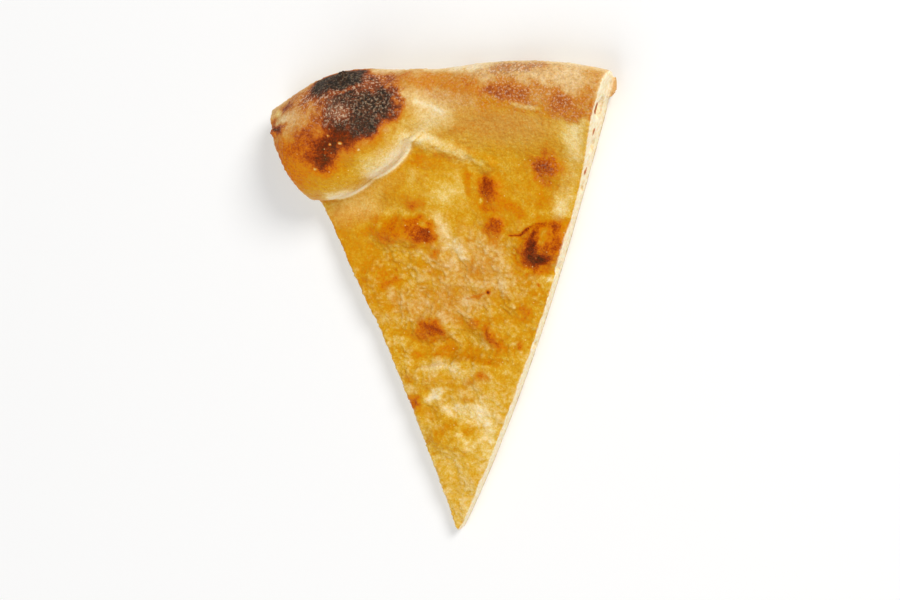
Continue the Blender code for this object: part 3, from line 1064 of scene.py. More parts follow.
RIM_MARKS: tuple[Mark, ...] = (
    Mark(Dome(42, 144.4, 17, 4.6, -6), 0.27, flour=0.5, soft=0.7),
    Mark(Dome(14.6, 147.9, 8.0, 1.5, 3), 0.06, soft=0.8, zone=Zone.ALL),
    Mark(Streak(((-8, 148.2), (2, 147.6), (10, 147.6)), 1.5), 0.22, soft=1.0, zone=Zone.ALL),
    Mark(
        Streak(((-7, 145.4), (4.6, 144.6), (12.9, 143.4), (19.8, 141.2), (27, 140.0)), 2.6),
        0.51,
        oil=0.6,
        flour=0.2,
        soft=0.8,
        ragged=0.5,
        zone=Zone.ALL,
    ),
    Mark(
        Streak(((28, 140.4), (38, 139.0), (44, 137.5), (49, 134)), 3.8),
        0.52,
        oil=0.35,
        flour=0.5,
        soft=0.5,
        ragged=0.5,
    ),
    Mark(Streak(((24.0, 141.0), (29.3, 139.7), (34.5, 138.8)), 2.1), 0.66, oil=0.3, flour=0.5, ragged=0.6),
    Mark(Dome(46.8, 135.2, 4.8, 2.6, -30), 0.62, oil=0.25, flour=0.55, ragged=0.6),
    Mark(Dome(48.6, 131.8, 2.8, 1.4, -20), 0.57, oil=0.6, flour=0.3, soft=1.0, ragged=0.5),
    Mark(Dome(53.6, 136.6, 2.2, 4.4, -20), 0.53, oil=0.6, flour=0.3, soft=1.0, ragged=0.5),
    Mark(Dome(32.0, 147.0, 9.4, 2.0, 2), 0.44, flour=1.0, ragged=0.5),
    Mark(Dome(31.0, 147.2, 6.6, 1.1, 2), 0.54, flour=1.0, soft=1.0, ragged=0.6),
    Mark(Dome(56.0, 144.8, 3.2, 2.2, -20), 0.44, oil=0.5, flour=0.4, ragged=0.6),
    Mark(Streak(((31, 136.3), (34.7, 135.7), (39.5, 134.5)), 0.5), 0.30, soft=1.0, ragged=1.2),
    Mark(Streak(((56.0, 131.6), (56.6, 135.4)), 1.3), 0.56, oil=0.6, soft=0.6, ragged=0.3),
)

BLISTER_MARKS: tuple[Mark, ...] = (
    # Orange and golden lower half, with its pale foot
    blister_mark(Dome(-38, 121, 14, 12, 20), 0.62, oil=1.0, soft=0.6),
    blister_mark(Dome(-24, 120.5, 12, 9, 20), 0.51, oil=1.0, soft=0.8),
    blister_mark(Dome(-29.5, 113.6, 9.0, 3.6, 12), 0.40, oil=1.0, ragged=0.5),
    blister_mark(Dome(-17.0, 120.2, 9.0, 3.8, 42), 0.33, oil=1.0, ragged=0.5),
    blister_mark(Dome(-10.6, 128.4, 5.0, 3.2, 40), 0.54, oil=1.0, ragged=0.6),
    blister_mark(Dome(-4.5, 131.0, 5.0, 3.0, 45), 0.30, oil=1.0, ragged=0.5),
    # Pale foot and lip: paler dough, painted paler still as light on the blister's lower side
    blister_mark(
        Streak(((-13, 117.0), (-8.4, 120.8), (-4.0, 125.0), (2, 130.0), (6, 133.0)), 4.2),
        0.09,
        oil=0.9,
        soft=1.0,
        ragged=0.3,
    ),
    blister_mark(
        Streak(((-30, 109.6), (-20, 112.0), (-13, 116.6), (-6.0, 122.6), (0, 127.8), (5, 132)), 2.0),
        0.0,
        oil=0.5,
        soft=1.0,
        ragged=0.3,
    ),
    # Its right end, golden between two pale edges
    blister_mark(Dome(-0.4, 134.8, 6.8, 4.4, 45), 0.28, oil=0.8, soft=0.8, ragged=0.4),
    blister_mark(Dome(-4.2, 134.6, 2.4, 1.6, 30), 0.46, oil=0.8, ragged=0.5),
    Mark(Dome(4.6, 133.4, 4.4, 3.0, 40), 0.15, oil=0.6, soft=1.0, ragged=0.4, zone=Zone.ALL),
    Mark(
        Streak(((-3.0, 141.0), (0.6, 138.8), (4.0, 136.4), (8.6, 134.2)), 2.7),
        0.17,
        oil=0.4,
        ragged=0.4,
        soft=1.0,
        zone=Zone.ALL,
    ),
    Mark(
        Streak(((-3.0, 141.0), (0.6, 139.0), (4.0, 137.0), (8.5, 135.2)), 0.8),
        0.05,
        oil=0.4,
        soft=1.0,
        ragged=0.8,
        zone=Zone.ALL,
    ),
    # Tan top and left end
    top_mark(Dome(-37.5, 136.5, 9.5, 5.6, 12), 0.40, flour=0.4, soft=0.8),
    top_mark(Streak(((-42, 141.5), (-33, 142.0)), 3.0), 0.54, flour=0.5, soft=0.8),
    top_mark(Streak(((-24.7, 141.6), (-14.3, 145.4), (-8, 145.6)), 2.4), 0.54, flour=0.6, soft=0.8),
    # Reddish brown round the char, and its dark tail
    blister_mark(Dome(-20.6, 134.2, 14.2, 6.8, 24), 0.74, oil=0.7, flour=0.1, soft=1.0, ragged=0.35),
    blister_mark(Dome(-33.4, 130.8, 3.2, 1.8, 10), 0.71, soft=1.0, ragged=0.4),
    blister_mark(
        Streak(((-16.0, 132.2), (-19.6, 130.8), (-24.0, 128.8), (-27.8, 126.4), (-29.6, 123.0)), 3.8),
        0.86,
        oil=0.9,
        flour=0.0,
        soft=0.8,
        ragged=0.25,
    ),
    # Ashy brown between the char and the black place
    top_mark(Streak(((-34, 141.6), (-27, 142.4), (-19.5, 144.0), (-12.6, 144.8)), 2.5), 0.75, flour=0.85),
    # Char, speckled with ash at its left end
    top_mark(Dome(-21.8, 138.8, 7.2, 4.2, 20), 0.82, flour=1.0, soft=0.7),
    top_mark(Dome(-13.2, 138.0, 9.0, 5.2, 22), 0.86, flour=0.6, soft=0.6),
    top_mark(Dome(-13.8, 133.2, 4.2, 3.6, 10), 0.86, flour=0.3, soft=0.8),
    top_mark(Dome(-12.4, 138.5, 6.2, 3.6, 20), 0.99, flour=0.7),
    top_mark(Dome(-13.9, 133.6, 2.8, 2.5, 10), 0.96, flour=0.3),
    top_mark(Dome(-20.4, 140.8, 4.4, 1.7, 10), 0.90, flour=0.8, soft=1.0),
    top_mark(Dome(-21.2, 136.6, 2.8, 2.0, 10), 0.72, flour=1.0, soft=1.0),
    # Black place at the rim's edge, and the browner line that parts it from the char
    top_mark(Streak(((-31.2, 146.4), (-25.0, 146.6), (-19.4, 147.4)), 3.9), 0.88, flour=0.4, soft=0.6),
    top_mark(Streak(((-30.6, 146.4), (-25.0, 146.8), (-19.8, 147.6)), 3.2), 1.0, flour=0.3, soft=0.7),
    top_mark(
        Streak(((-26, 142.8), (-21.5, 143.5), (-17.4, 144.6), (-13, 145.3)), 0.5),
        0.72,
        flour=0.8,
        soft=1.0,
    ),
    # Dark places and bright flakes at the left edge
    blister_mark(Dome(-45.4, 133.4, 3.4, 2.8, 0), 0.86, soft=0.8, ragged=0.4),
    blister_mark(Dome(-42.8, 139.2, 3.2, 1.4, 20), 0.72, ragged=0.5),
    blister_mark(Dome(-43.6, 135.4, 3.4, 1.2, 25), 0.24, ragged=0.6),
    blister_mark(Dome(-47.4, 137.2, 2.4, 1.2, -20), 0.16, oil=0.8, soft=0.8, ragged=0.4),
    # Pale specks
    blister_mark(Dome(-25.4, 127.1, 0.45, 0.35, 30), 0.06, oil=0.0, soft=0.8, ragged=0.0),
    blister_mark(Dome(-21.8, 127.4, 0.40, 0.35, 0), 0.06, oil=0.0, soft=0.8, ragged=0.0),
    blister_mark(Dome(-16.3, 125.2, 0.45, 0.35, 50), 0.08, oil=0.0, soft=0.8, ragged=0.0),
    blister_mark(Dome(-26.2, 130.2, 0.40, 0.30, 0), 0.20, oil=0.0, soft=0.8, ragged=0.0),
    blister_mark(Dome(-31.6, 119.8, 0.45, 0.35, 20), 0.20, oil=0.0, soft=0.8, ragged=0.0),
)


@dataclass
class Baking:
    """How far each place is browned, oiled and floured, with some painted shade and highlights in the
    browning.
    """

    body_tone: float = 0.36
    rim_tone: float = 0.37
    low_tone: float = 0.30
    rim_from: float = 0.1338
    rim_over: float = 0.0050
    fried_from: float = 0.48  # browned places of the body are oily
    fried_over: float = 0.12
    crease_tone: float = 0.52
    crease_share: float = 0.55
    crease_until: float = 0.1315
    toasted_tone: float = 0.68
    toasted_from: float = 0.00015
    rim_flour: float = 0.35
    push: float = 0.0009  # how far the marks' outlines are pushed about

    def layers(self, surface: Surface) -> dict[Layer, np.ndarray]:
        """Paints the whole slice.

        Args:
            surface: Its vertices.

        Returns:
            One number for each place and layer.
        """
        grain = Grain(surface.places)
        pushed = grain.warped(0.0062, self.push).warped(0.0021, 0.45 * self.push)
        x, y = pushed.places[:, 0], pushed.places[:, 1]
        uneven = 1.1 * grain.soft(0.0034) + 0.7 * grain.soft(0.0014, 5.1)
        broad = grain.soft(0.0085, 3.3)
        rim = ease((surface.reach + 0.0016 * uneven - self.rim_from) / self.rim_over)
        rim = np.maximum(rim, surface.blister)
        lower = ease((0.080 - y) / 0.030)
        browning = self.body_tone + (self.low_tone - self.body_tone) * lower
        browning = toward(browning, self.rim_tone, rim)
        oil, flour = 1.0 - 0.9 * rim, self.rim_flour * rim * (1.0 - surface.blister)
        for mark in (*BODY_MARKS, *RIM_MARKS, *BLISTER_MARKS):
            share = mark.share(x, y, uneven)
            if mark.zone is not Zone.ALL:
                on_blister = mark.zone is Zone.BLISTER
                share = share * (surface.blister if on_blister else 1.0 - surface.blister)
            if mark.browning is not None:
                browning = toward(browning, mark.browning, share)
            if mark.oil is not None:
                oil = toward(oil, mark.oil, share)
            if mark.flour is not None:
                flour = toward(flour, mark.flour, share)
        browning = browning + 0.05 * broad + 0.03 * uneven
        fried = ease((browning - self.fried_from) / self.fried_over) * (1.0 - rim)
        oil = np.maximum(oil, fried)
        on_body = ease((self.crease_until - surface.reach) / self.rim_over)
        crease = 4.0 * surface.blister * (1.0 - surface.blister) * on_body
        browning = toward(browning, self.crease_tone, self.crease_share * crease)
        side = ease((0.0125 - surface.height) / 0.006) * ease((surface.reach - 0.138) / 0.005)
        under = ease((0.0006 - surface.height) / 0.0003)
        underside = np.maximum(under, side * (1.0 - surface.cut_face))
        crust_line = ease((surface.height - 0.0005 - 0.0004 * uneven) / 0.0006)
        flake = ease((-0.0006 - surface.from_cut()) / 0.0006)
        sunk = sum(surface.cut(side) * surface.in_holes(side, TOASTED_HOLES) for side in Side)
        toasted = ease(sunk / self.toasted_from)
        browning = toward(browning, self.toasted_tone, toasted)
        crumb = surface.cut_face * crust_line * (1.0 - flake)
        return {
            Layer.BROWNING: browning,
            Layer.OIL: oil * (1.0 - underside),
            Layer.FLOUR: np.maximum(flour, 0.5 * underside),
            Layer.CRUMB: crumb * (1.0 - toasted),
            Layer.UNDERSIDE: underside * (1.0 - flake),
        }


SMOOTH_PLACES: tuple[Dome, ...] = (
    Dome(-20, 109, 18, 9, 20),
    Dome(-29, 95, 8, 10, 20),
    Dome(25, 127, 34, 12, 0),
)


@dataclass
class FineRelief:
    """The small forms of crust and crumb, raised along the surface's own direction, in metres."""

    curd_height: float = 0.00095
    curd_size: float = 0.0036
    curd_crispness: float = 1.8
    curd_paleness: float = 0.24
    curd_dryness: float = 0.80
    calmer: float = 0.25  # towards the point
    skin_height: float = 0.00016
    grain_height: float = 0.00008
    pimple_height: float = 0.00020
    char_height: float = 0.00030
    pit_depth: float = 0.00014
    pit_size: float = 0.0017
    crag_height: float = 0.00035
    crag_over: float = 0.0016
    crack_depth: float = 0.00040
    crack: Streak = Streak(((24.2, 96.0), (27.8, 95.7), (29.4, 97.8), (32.0, 99.0), (36.0, 99.3)), 0.7)

    def curds(self, surface: Surface) -> tuple[np.ndarray, np.ndarray]:
        """The curdled, wrinkled top of the body.

        Args:
            surface: The vertices.

        Returns:
            Its height from about -0.5 to 0.5, and the share by which each place has it.
        """
        x, y = surface.places[:, 0], surface.places[:, 1]
        warped = Grain(surface.places).warped(0.0050, 0.0014)
        size = self.curd_size
        lumps = warped.soft((size * 1.3, size, size)) + 0.5 * warped.soft(size * 0.5, 9.0)
        wrinkles = warped.creases((size * 1.5, size * 0.8, size)) - 0.4
        grains = 0.45 - warped.seeds((size * 0.50, size * 0.40, size * 0.45), 4.0)
        crumbs = 0.45 - warped.seeds((size * 0.27, size * 0.24, size * 0.25), 14.0)
        height = 0.50 * lumps + 0.10 * wrinkles + 0.80 * grains + 0.65 * crumbs
        height = np.tanh(self.curd_crispness * height) / self.curd_crispness
        share = 1.0 - 0.65 * ease((y - 0.088) / 0.018) - self.calmer * ease((0.058 - y) / 0.010)
        for place in SMOOTH_PLACES:
            share *= 1.0 - 0.85 * ease((1.0 - place.spread(x, y)) / 0.35)
        share *= 1.0 - ease((surface.reach - 0.124) / 0.010)
        share *= (1.0 - surface.blister) * ease((surface.facing_up - 0.2) / 0.4)
        return height, share

    def heights(self, surface: Surface, layers: dict[Layer, np.ndarray]) -> np.ndarray:
        """How far each place is raised along its own direction.

        Args:
            surface: The vertices.
            layers: What they are painted with. The browning is lightened on the curds' tops.

        Returns:
            The heights, in metres.
        """
        grain = Grain(surface.places)
        x, y = surface.places[:, 0], surface.places[:, 1]
        up = ease((surface.facing_up + 0.3) / 0.4)
        level = surface.height > 0.0006
        browning = layers[Layer.BROWNING]
        curd, share = self.curds(surface)
        paler = curd * share * ease((0.66 - browning) / 0.22)
        layers[Layer.BROWNING] = browning - self.curd_paleness * paler
        layers[Layer.OIL] = np.clip(layers[Layer.OIL] - self.curd_dryness * paler, 0.0, 1.0)
        dry = 1.0 - share
        total = self.curd_height * curd * share
        total += self.skin_height * dry * up * grain.soft(0.0042, 2.0)
        total += self.grain_height * up * grain.rough(0.0011)
        browned = ease((browning - 0.48) / 0.16) * up
        total += self.grain_height * 1.6 * browned * grain.soft(0.00085, 7.0)
        pimples = ease((0.34 - grain.seeds(0.0026, 6.0)) / 0.2)
        total += self.pimple_height * pimples * up * dry * (1.0 - 0.7 * layers[Layer.OIL])
        char = ease((browning - 0.72) / 0.16) * up
        total += self.char_height * char * (grain.creases((0.0026, 0.0015, 0.002), 8.0) - 0.4)
        crag = ease(1.0 - surface.from_cut() / self.crag_over) * (1.0 - layers[Layer.CRUMB]) * up
        total += self.crag_height * crag * grain.rough(0.0016, 5.0)
        cracked = ease(1.0 - self.crack.spread(x, y)) * ease(0.6 + grain.soft(0.002))
        total -= self.crack_depth * cracked
        crumb = layers[Layer.CRUMB]
        pits = ease((0.42 - grain.seeds(self.pit_size, 1.0)) / 0.25)
        small = ease((0.42 - grain.seeds(self.pit_size * 0.45, 3.0)) / 0.25)
        total -= crumb * (self.pit_depth * pits + 0.4 * self.pit_depth * small)
        total += crumb * self.grain_height * grain.soft(0.0008)
        return total * level


@dataclass
class Recipe:
    """Adds nodes to one material and joins them.

    Attributes:
        name: The material's name.
    """

    name: str
    nodes: bpy.types.Nodes = field(init=False)
    links: bpy.types.NodeLinks = field(init=False)
    material: bpy.types.Material = field(init=False)

    def __post_init__(self) -> None:
        """Makes the material with its shader."""
        self.material = bpy.data.materials.new(self.name)
        self.material.use_nodes = True
        self.nodes = self.material.node_tree.nodes
        self.links = self.material.node_tree.links
        self.shader = self.nodes["Principled BSDF"]
        self.place = self.nodes.new("ShaderNodeTexCoord").outputs["Object"]

    def join(self, value: object, socket: bpy.types.NodeSocket) -> None:
        """Links a socket to an input, or sets the input to a number or colour."""
        if isinstance(value, bpy.types.NodeSocket):
            self.links.new(value, socket)
        elif isinstance(value, tuple) and len(value) == 3 and socket.type == "RGBA":
            socket.default_value = (*value, 1.0)
        else:
            socket.default_value = value

    def carried(self, layer: Layer) -> bpy.types.NodeSocket:
        """The number that the surface carries for a layer."""
        node = self.nodes.new("ShaderNodeAttribute")
        node.attribute_name = layer.value
        return node.outputs["Fac"]

    def grain(self, size: float, detail: float = 2.0, warp: float = 0.0) -> bpy.types.NodeSocket:
        """Noise with lumps about this size in metres, from 0 to 1 round 0.5."""
        node = self.nodes.new("ShaderNodeTexNoise")
        self.join(self.place, node.inputs["Vector"])
        node.inputs["Scale"].default_value = 1.0 / size
        node.inputs["Detail"].default_value = detail
        node.inputs["Distortion"].default_value = warp
        return node.outputs["Fac"]

    def seeds(self, size: float) -> bpy.types.NodeSocket:
        """Distance to the nearest of many scattered seeds about this size apart."""
        node = self.nodes.new("ShaderNodeTexVoronoi")
        self.join(self.place, node.inputs["Vector"])
        node.inputs["Scale"].default_value = 1.0 / size
        return node.outputs["Distance"]

    def specks(self, size: float, width: float, share: float) -> bpy.types.NodeSocket:
        """Small round specks in some cells of this size.

        Args:
            size: Size of a cell, in metres.
            width: Radius of a speck, as a share of the cell.
            share: Share of the cells that have one.

        Returns:
            1 on a speck and 0 between.
        """
        node = self.nodes.new("ShaderNodeTexVoronoi")
        self.join(self.place, node.inputs["Vector"])
        node.inputs["Scale"].default_value = 1.0 / size
        near = self.between(node.outputs["Distance"], width, width * SPECK_FULL)
        split = self.nodes.new("ShaderNodeSeparateColor")
        self.join(node.outputs["Color"], split.inputs["Color"])
        chosen = self.between(split.outputs["Red"], 1.0 - share, 1.0 - share + SPECK_STEP)
        return self.math("MULTIPLY", near, chosen)

    def math(self, kind: str, *values: object, clamp: bool = False) -> bpy.types.NodeSocket:
        """One sum of two or three numbers or sockets."""
        node = self.nodes.new("ShaderNodeMath")
        node.operation = kind
        node.use_clamp = clamp
        for value, socket in zip(values, node.inputs):
            self.join(value, socket)
        return node.outputs[0]

    def between(self, value: object, low: float, high: float) -> bpy.types.NodeSocket:
        """Eases a number from 0 at low to 1 at high."""
        node = self.nodes.new("ShaderNodeMapRange")
        node.interpolation_type = "SMOOTHSTEP"
        self.join(value, node.inputs["Value"])
        flipped = low > high
        node.inputs["From Min"].default_value = min(low, high)
        node.inputs["From Max"].default_value = max(low, high)
        node.inputs["To Min"].default_value = 1.0 if flipped else 0.0
        node.inputs["To Max"].default_value = 0.0 if flipped else 1.0
        return node.outputs["Result"]

    def scaled(self, value: object, low: float, high: float) -> bpy.types.NodeSocket:
        """Runs a number of 0 to 1 from low to high."""
        return self.math("MULTIPLY_ADD", value, high - low, low)

    def ramp(self, value: object, stops: Sequence[tuple[float, COLOUR]]) -> bpy.types.NodeSocket:
        """A run of colours.

        Args:
            value: Where along the run.
            stops: The colours and their places on it.

        Returns:
            The colour.
        """
        node = self.nodes.new("ShaderNodeValToRGB")
        elements = node.color_ramp.elements
        while len(elements) < len(stops):
            elements.new(0.5)
        for element, (position, colour) in zip(elements, stops):
            element.position = position
            element.color = (*colour, 1.0)
        self.join(value, node.inputs["Fac"])
        return node.outputs["Color"]

    def mix(self, share: object, first: object, second: object) -> bpy.types.NodeSocket:
        """Mixes two colours by a share."""
        node = self.nodes.new("ShaderNodeMix")
        node.data_type = "RGBA"
        self.join(share, node.inputs["Factor"])
        self.join(first, node.inputs[MIX_FIRST])
        self.join(second, node.inputs[MIX_SECOND])
        return node.outputs[MIX_RESULT]

    def bump(self, height: object, strength: float, distance: float) -> None:
        """Raises the surface's shading by a height of 0 to 1."""
        node = self.nodes.new("ShaderNodeBump")
        node.inputs["Strength"].default_value = strength
        node.inputs["Distance"].default_value = distance
        self.join(height, node.inputs["Height"])
        self.join(node.outputs["Normal"], self.shader.inputs["Normal"])


@dataclass(frozen=True)
class BakedDough:
    """The finish of the slice: dry crust, oily top, pale crumb and floury underside."""

    dry: tuple[tuple[float, COLOUR], ...] = (
        (0.00, paint(246, 230, 198)),
        (0.15, paint(240, 212, 164)),
        (0.30, paint(226, 185, 127)),
        (0.42, paint(213, 158, 94)),
        (0.52, paint(204, 132, 62)),
        (0.62, paint(186, 104, 46)),
        (0.70, paint(158, 76, 38)),
        (0.78, paint(124, 56, 34)),
        (0.86, paint(90, 47, 38)),
        (0.93, paint(58, 40, 38)),
        (1.00, paint(36, 31, 34)),
    )
    oily: tuple[tuple[float, COLOUR], ...] = (
        (0.00, paint(250, 236, 194)),
        (0.12, paint(244, 216, 142)),
        (0.24, paint(228, 186, 80)),
        (0.35, paint(217, 162, 32)),
        (0.45, paint(209, 141, 6)),
        (0.53, paint(211, 131, 0)),
        (0.60, paint(208, 115, 0)),
        (0.67, paint(194, 93, 2)),
        (0.74, paint(168, 64, 4)),
        (0.82, paint(128, 38, 6)),
        (0.90, paint(90, 26, 8)),
        (1.00, paint(44, 24, 16)),
    )
    crumb: COLOUR = paint(252, 239, 208)
    crumb_deep: COLOUR = paint(245, 221, 174)
    flour: COLOUR = paint(240, 212, 178)
    toasted_grain: COLOUR = paint(144, 90, 60)
    ash: COLOUR = paint(174, 148, 124)
    glint: COLOUR = paint(250, 224, 150)
    shine: COLOUR = (1.0, 0.75, 0.15)  # the oil's sheen is golden
    underside_tone: tuple[float, float] = (0.02, 0.46)
    blotch: float = 0.013
    coarse: float = 0.0036
    medium: float = 0.0011
    fine: float = 0.00050
    crumbly: float = 0.0010
    ash_size: float = 0.0008
    dark_grain: float = 0.00085
    light_grain: float = 0.00070
    coarse_share: float = 0.13
    medium_share: float = 0.25
    fine_share: float = 0.32
    ash_share: tuple[float, float] = (0.08, 0.58)
    dark_share: float = 0.46
    light_share: float = 0.62
    light_on_char: float = 0.60
    glint_share: float = 0.55
    blotch_range: tuple[float, float] = (0.50, 0.72)  # of the noise, as in all the ranges
    ash_range: tuple[float, float] = (0.38, 0.66)
    ash_on_flour: tuple[float, float] = (0.75, 0.97)
    dark_range: tuple[float, float] = (0.51, 0.61)
    light_range: tuple[float, float] = (0.53, 0.63)
    char_range: tuple[float, float] = (0.74, 0.90)
    crumb_range: tuple[float, float] = (0.62, 0.42)
    light_specks: tuple[float, float, float] = (0.0023, 0.13, 0.3)  # cell, radius, share
    glint_specks: tuple[float, float, float] = (0.0019, 0.15, 0.32)
    toasted_medium: float = 0.2
    rough_dry: float = 0.76
    rough_medium: float = 0.3
    rough_crumb: float = 0.1
    oil_gloss: float = 0.38
    specular: float = 0.30
    glow: float = 0.2
    glow_colours: COLOUR = (1.0, 0.5, 0.2)
    glow_reach: float = 0.0015
    bump_strength: float = 0.75
    bump_height: float = 0.00042
    bump_medium: float = 0.5
    bump_crumbly: float = -0.6
    bump_fine: float = 0.4
    bump_on_crumb: float = 0.4

    def crust(self, mix: Recipe, oil: object, medium: object, fine: object) -> bpy.types.NodeSocket:
        """The colour of the crust, from pale dough to char.

        Args:
            mix: The material.
            oil: How oily each place is.
            medium: Noise of about a millimetre.
            fine: Noise of about half a millimetre.

        Returns:
            The colour.
        """
        underside = mix.carried(Layer.UNDERSIDE)
        browning = mix.carried(Layer.BROWNING)
        coarse = mix.grain(self.coarse, 3.0)
        shares = ((coarse, self.coarse_share), (medium, self.medium_share), (fine, self.fine_share))
        for grain, share in shares:
            browning = mix.math("MULTIPLY_ADD", mix.math("SUBTRACT", grain, 0.5), share, browning)
        blotches = mix.between(mix.grain(self.blotch, 4.0, 0.3), *self.blotch_range)
        toasted = mix.scaled(blotches, *self.underside_tone)
        uneven = mix.math("SUBTRACT", medium, 0.5)
        toasted = mix.math("MULTIPLY_ADD", uneven, self.toasted_medium, toasted)
        pale = mix.math("MULTIPLY", browning, mix.math("SUBTRACT", 1.0, underside))
        browning = mix.math("MULTIPLY_ADD", toasted, underside, pale)
        return mix.mix(oil, mix.ramp(browning, self.dry), mix.ramp(browning, self.oily))

    def dusted(self, mix: Recipe, crust: object) -> bpy.types.NodeSocket:
        """Dusts the crust with ash, toasted grains and flour where it carries them.

        Args:
            mix: The material.
            crust: The crust's own colour.

        Returns:
            The colour.
        """
        flour, browning = mix.carried(Layer.FLOUR), mix.carried(Layer.BROWNING)
        patchy = mix.between(mix.grain(self.ash_size, 4.0), *self.ash_range)
        patchy = mix.scaled(patchy, *self.ash_share)
        ashy = mix.math("MULTIPLY", mix.between(flour, *self.ash_on_flour), patchy)
        crust = mix.mix(ashy, crust, self.ash)
        dark = mix.between(mix.grain(self.dark_grain), *self.dark_range)
        dark = mix.math("MULTIPLY", mix.math("MULTIPLY", dark, flour), self.dark_share)
        crust = mix.mix(dark, crust, self.toasted_grain)
        light = mix.between(mix.grain(self.light_grain), *self.light_range)
        light = mix.math("MAXIMUM", light, mix.specks(*self.light_specks))
        light = mix.math("MULTIPLY", mix.math("MULTIPLY", light, flour), self.light_share)
        dimmed = mix.scaled(mix.between(browning, *self.char_range), 1.0, self.light_on_char)
        return mix.mix(mix.math("MULTIPLY", light, dimmed), crust, self.flour)

    def make(self) -> bpy.types.Material:
        """Builds the material.

        Returns:
            The material, which reads the layers that the slice carries.
        """
        mix = Recipe("baked_dough_finish")
        oil, crumb = mix.carried(Layer.OIL), mix.carried(Layer.CRUMB)
        medium, fine = mix.grain(self.medium, 3.0), mix.grain(self.fine, 2.0)
        crust = self.dusted(mix, self.crust(mix, oil, medium, fine))
        glints = mix.math("MULTIPLY", mix.specks(*self.glint_specks), oil)
        crust = mix.mix(mix.math("MULTIPLY", glints, self.glint_share), crust, self.glint)
        inside = mix.mix(mix.between(medium, *self.crumb_range), self.crumb_deep, self.crumb)
        mix.join(mix.mix(crumb, crust, inside), mix.shader.inputs["Base Color"])
        rough = mix.math("MULTIPLY_ADD", oil, -self.oil_gloss, self.rough_dry)
        uneven = mix.math("SUBTRACT", medium, 0.5)
        rough = mix.math("MULTIPLY_ADD", uneven, self.rough_medium, rough)
        rough = mix.math("MULTIPLY_ADD", crumb, self.rough_crumb, rough, clamp=True)
        mix.join(rough, mix.shader.inputs["Roughness"])
        mix.shader.inputs["Specular IOR Level"].default_value = self.specular
        mix.join(self.shine, mix.shader.inputs["Specular Tint"])
        mix.shader.inputs["Subsurface Weight"].default_value = self.glow
        mix.shader.inputs["Subsurface Radius"].default_value = self.glow_colours
        mix.shader.inputs["Subsurface Scale"].default_value = self.glow_reach
        height = mix.math("MULTIPLY", medium, self.bump_medium)
        height = mix.math("MULTIPLY_ADD", mix.seeds(self.crumbly), self.bump_crumbly, height)
        height = mix.math("MULTIPLY_ADD", fine, self.bump_fine, height)
        height = mix.math("MULTIPLY", height, mix.scaled(crumb, 1.0, self.bump_on_crumb))
        mix.bump(height, self.bump_strength, self.bump_height)
        return mix.material


@dataclass
class FocacciaSlice:
    """The whole slice, in place of the CAD solid."""

    node: str = "focaccia_slice"
    body: str = "root"
    slot: str = "baked_dough"
    blank: Blank = field(default_factory=Blank)
    baking: Baking = field(default_factory=Baking)
    relief: FineRelief = field(default_factory=FineRelief)
    finish: BakedDough = field(default_factory=BakedDough)

    def shape(self, piece: bpy.types.Object) -> dict[Layer, np.ndarray]:
        """Gives the cut blank its broad and its fine shape.

        Args:
            piece: The cut blank.

        Returns:
            What each vertex is painted with.
        """
        straight = Hand.points(piece)
        broad = BroadShape(self.blank)
        places = broad.shape(straight)
        Hand.put_points(piece, places)
        surface = Surface(self.blank, straight, places, Hand.normals(piece))
        layers = self.baking.layers(surface)
        raised = self.relief.heights(surface, layers)
        places = places + surface.normals * raised[:, None]
        places[:, 2] = np.maximum(places[:, 2], 0.0)
        low, high = (np.array(corner) for corner in CAD_BOX)
        middle = (places.min(axis=0) + places.max(axis=0)) / 2.0
        places[:, :2] -= middle[:2]
        Hand.put_points(piece, np.clip(places, low, high))
        return layers

    @staticmethod
    def carry(piece: bpy.types.Object, layers: dict[Layer, np.ndarray]) -> None:
        """Stores the painted layers on the mesh for the material."""
        for layer, values in layers.items():
            stored = piece.data.attributes.new(layer.value, "FLOAT", "POINT")
            stored.data.foreach_set("value", values.astype(np.float32))

    def build(self) -> bpy.types.Object:
        """Models, dresses and places the slice.

        Returns:
            The finished piece.
        """
        piece = self.blank.model()
        layers = self.shape(piece)
        self.carry(piece, layers)
        Hand.only(piece)
        bpy.ops.object.shade_smooth()
        piece.data.materials.clear()
        piece.data.materials.append(self.finish.make())
        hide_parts(self.node)
        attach(piece, self.body)
        piece.data.calc_loop_triangles()
        LOG.info("%s: %d triangles", piece.name, len(piece.data.loop_triangles))
        return piece


@dataclass(frozen=True)
class SoftBox:
    """One large soft lamp, aimed at the slice. Sizes in metres, power in watts."""

    name: str
    place: PLACE
    width: float
    power: float
    colour: COLOUR = (1.0, 1.0, 1.0)

    def light(self) -> None:
        """Adds the lamp."""
        bpy.ops.object.light_add(type="AREA", location=self.place)
        lamp = bpy.context.object
        lamp.name = self.name
        lamp.data.shape = "DISK"
        lamp.data.size = self.width
        lamp.data.energy = self.power
        lamp.data.color = self.colour
        lamp.rotation_euler = (-Vector(self.place)).to_track_quat("-Z", "Y").to_euler()


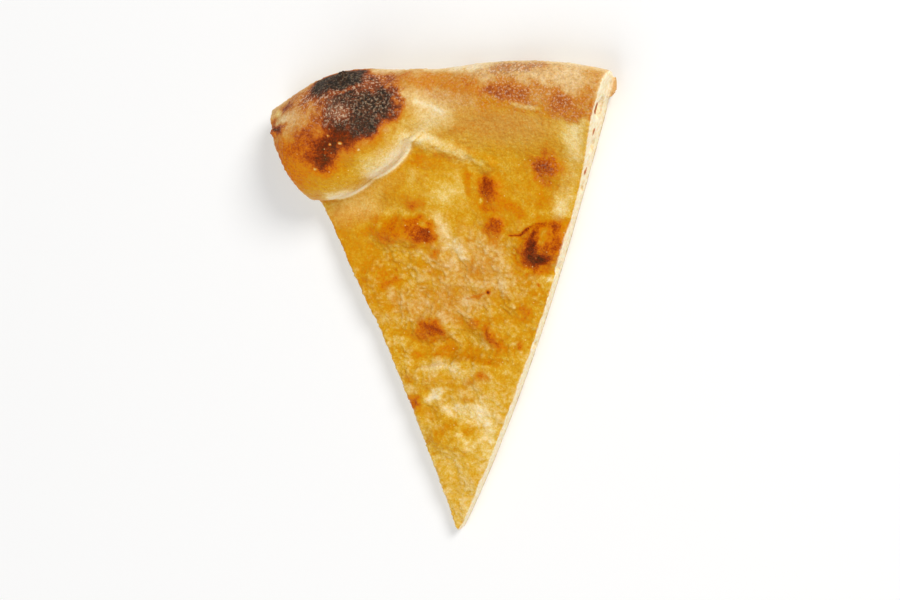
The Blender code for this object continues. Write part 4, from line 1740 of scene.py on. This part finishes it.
@dataclass
class Studio:
    """A plain pale floor, soft light and the camera. Sizes in metres."""

    floor_width: float = 8.0
    floor_colour: COLOUR = (0.97, 0.97, 0.97)
    floor_clouds: float = 0.4
    floor_least: float = 0.99  # darkest of the floor's faint clouds
    floor_rough: float = 0.9
    floor_shine: float = 0.1
    sky_strength: float = 0.50
    lamps: tuple[SoftBox, ...] = (
        SoftBox("key", (0.88, 0.74, 0.95), 0.6, 11.8, (1.0, 0.985, 0.96)),
        SoftBox("fill", (-0.50, -0.90, 1.10), 1.4, 7.6),
    )
    target: PLACE = (-0.0016, 0.0004, 0.006)
    distance: float = 0.665
    tilt_right: float = math.radians(20.0)
    tilt_up: float = math.radians(8.0)
    roll: float = math.radians(4.0)
    lens: float = 85.0

    def lay_floor(self) -> None:
        """Adds the floor, which isn't part of the slice."""
        bpy.ops.mesh.primitive_plane_add(size=self.floor_width, location=(0.0, 0.0, 0.0))
        floor = Hand.new_piece("studio_floor")
        mix = Recipe("pale_floor")
        tone = mix.scaled(mix.grain(self.floor_clouds), self.floor_least, 1.0)
        shade = mix.mix(tone, (0.0, 0.0, 0.0), self.floor_colour)
        mix.join(shade, mix.shader.inputs["Base Color"])
        mix.shader.inputs["Roughness"].default_value = self.floor_rough
        mix.shader.inputs["Specular IOR Level"].default_value = self.floor_shine
        floor.data.materials.append(mix.material)

    def light(self) -> None:
        """Lights the slice from the sky and the lamps."""
        world = bpy.data.worlds.new("studio_sky")
        bpy.context.scene.world = world
        world.use_nodes = True
        sky = world.node_tree.nodes["Background"]
        sky.inputs["Color"].default_value = (1.0, 1.0, 1.0, 1.0)
        sky.inputs["Strength"].default_value = self.sky_strength
        for lamp in self.lamps:
            lamp.light()

    def set_camera(self) -> None:
        """Sets the camera at the viewing angle of the photograph."""
        back = Vector((math.tan(self.tilt_right), math.tan(self.tilt_up), 1.0)).normalized()
        up = Vector((math.sin(self.roll), math.cos(self.roll), 0.0))
        right = up.cross(back).normalized()
        place = Matrix((right, back.cross(right), back)).transposed().to_4x4()
        place.translation = Vector(self.target) + back * self.distance
        bpy.ops.object.camera_add()
        camera = bpy.context.object
        camera.matrix_world = place
        camera.data.lens = self.lens
        bpy.context.scene.camera = camera
        bpy.context.scene.view_settings.view_transform = "Standard"

    def build(self) -> None:
        """Sets up the floor, the light and the camera."""
        self.set_camera()
        self.light()
        self.lay_floor()
        LOG.info("studio: floor, %d lamps and camera", len(self.lamps))


def main() -> None:
    """Builds the studio and the slice."""
    logging.basicConfig(level=logging.INFO, format="%(name)s: %(message)s")
    Studio().build()
    FocacciaSlice().build()


if __name__ == "__main__":
    main()
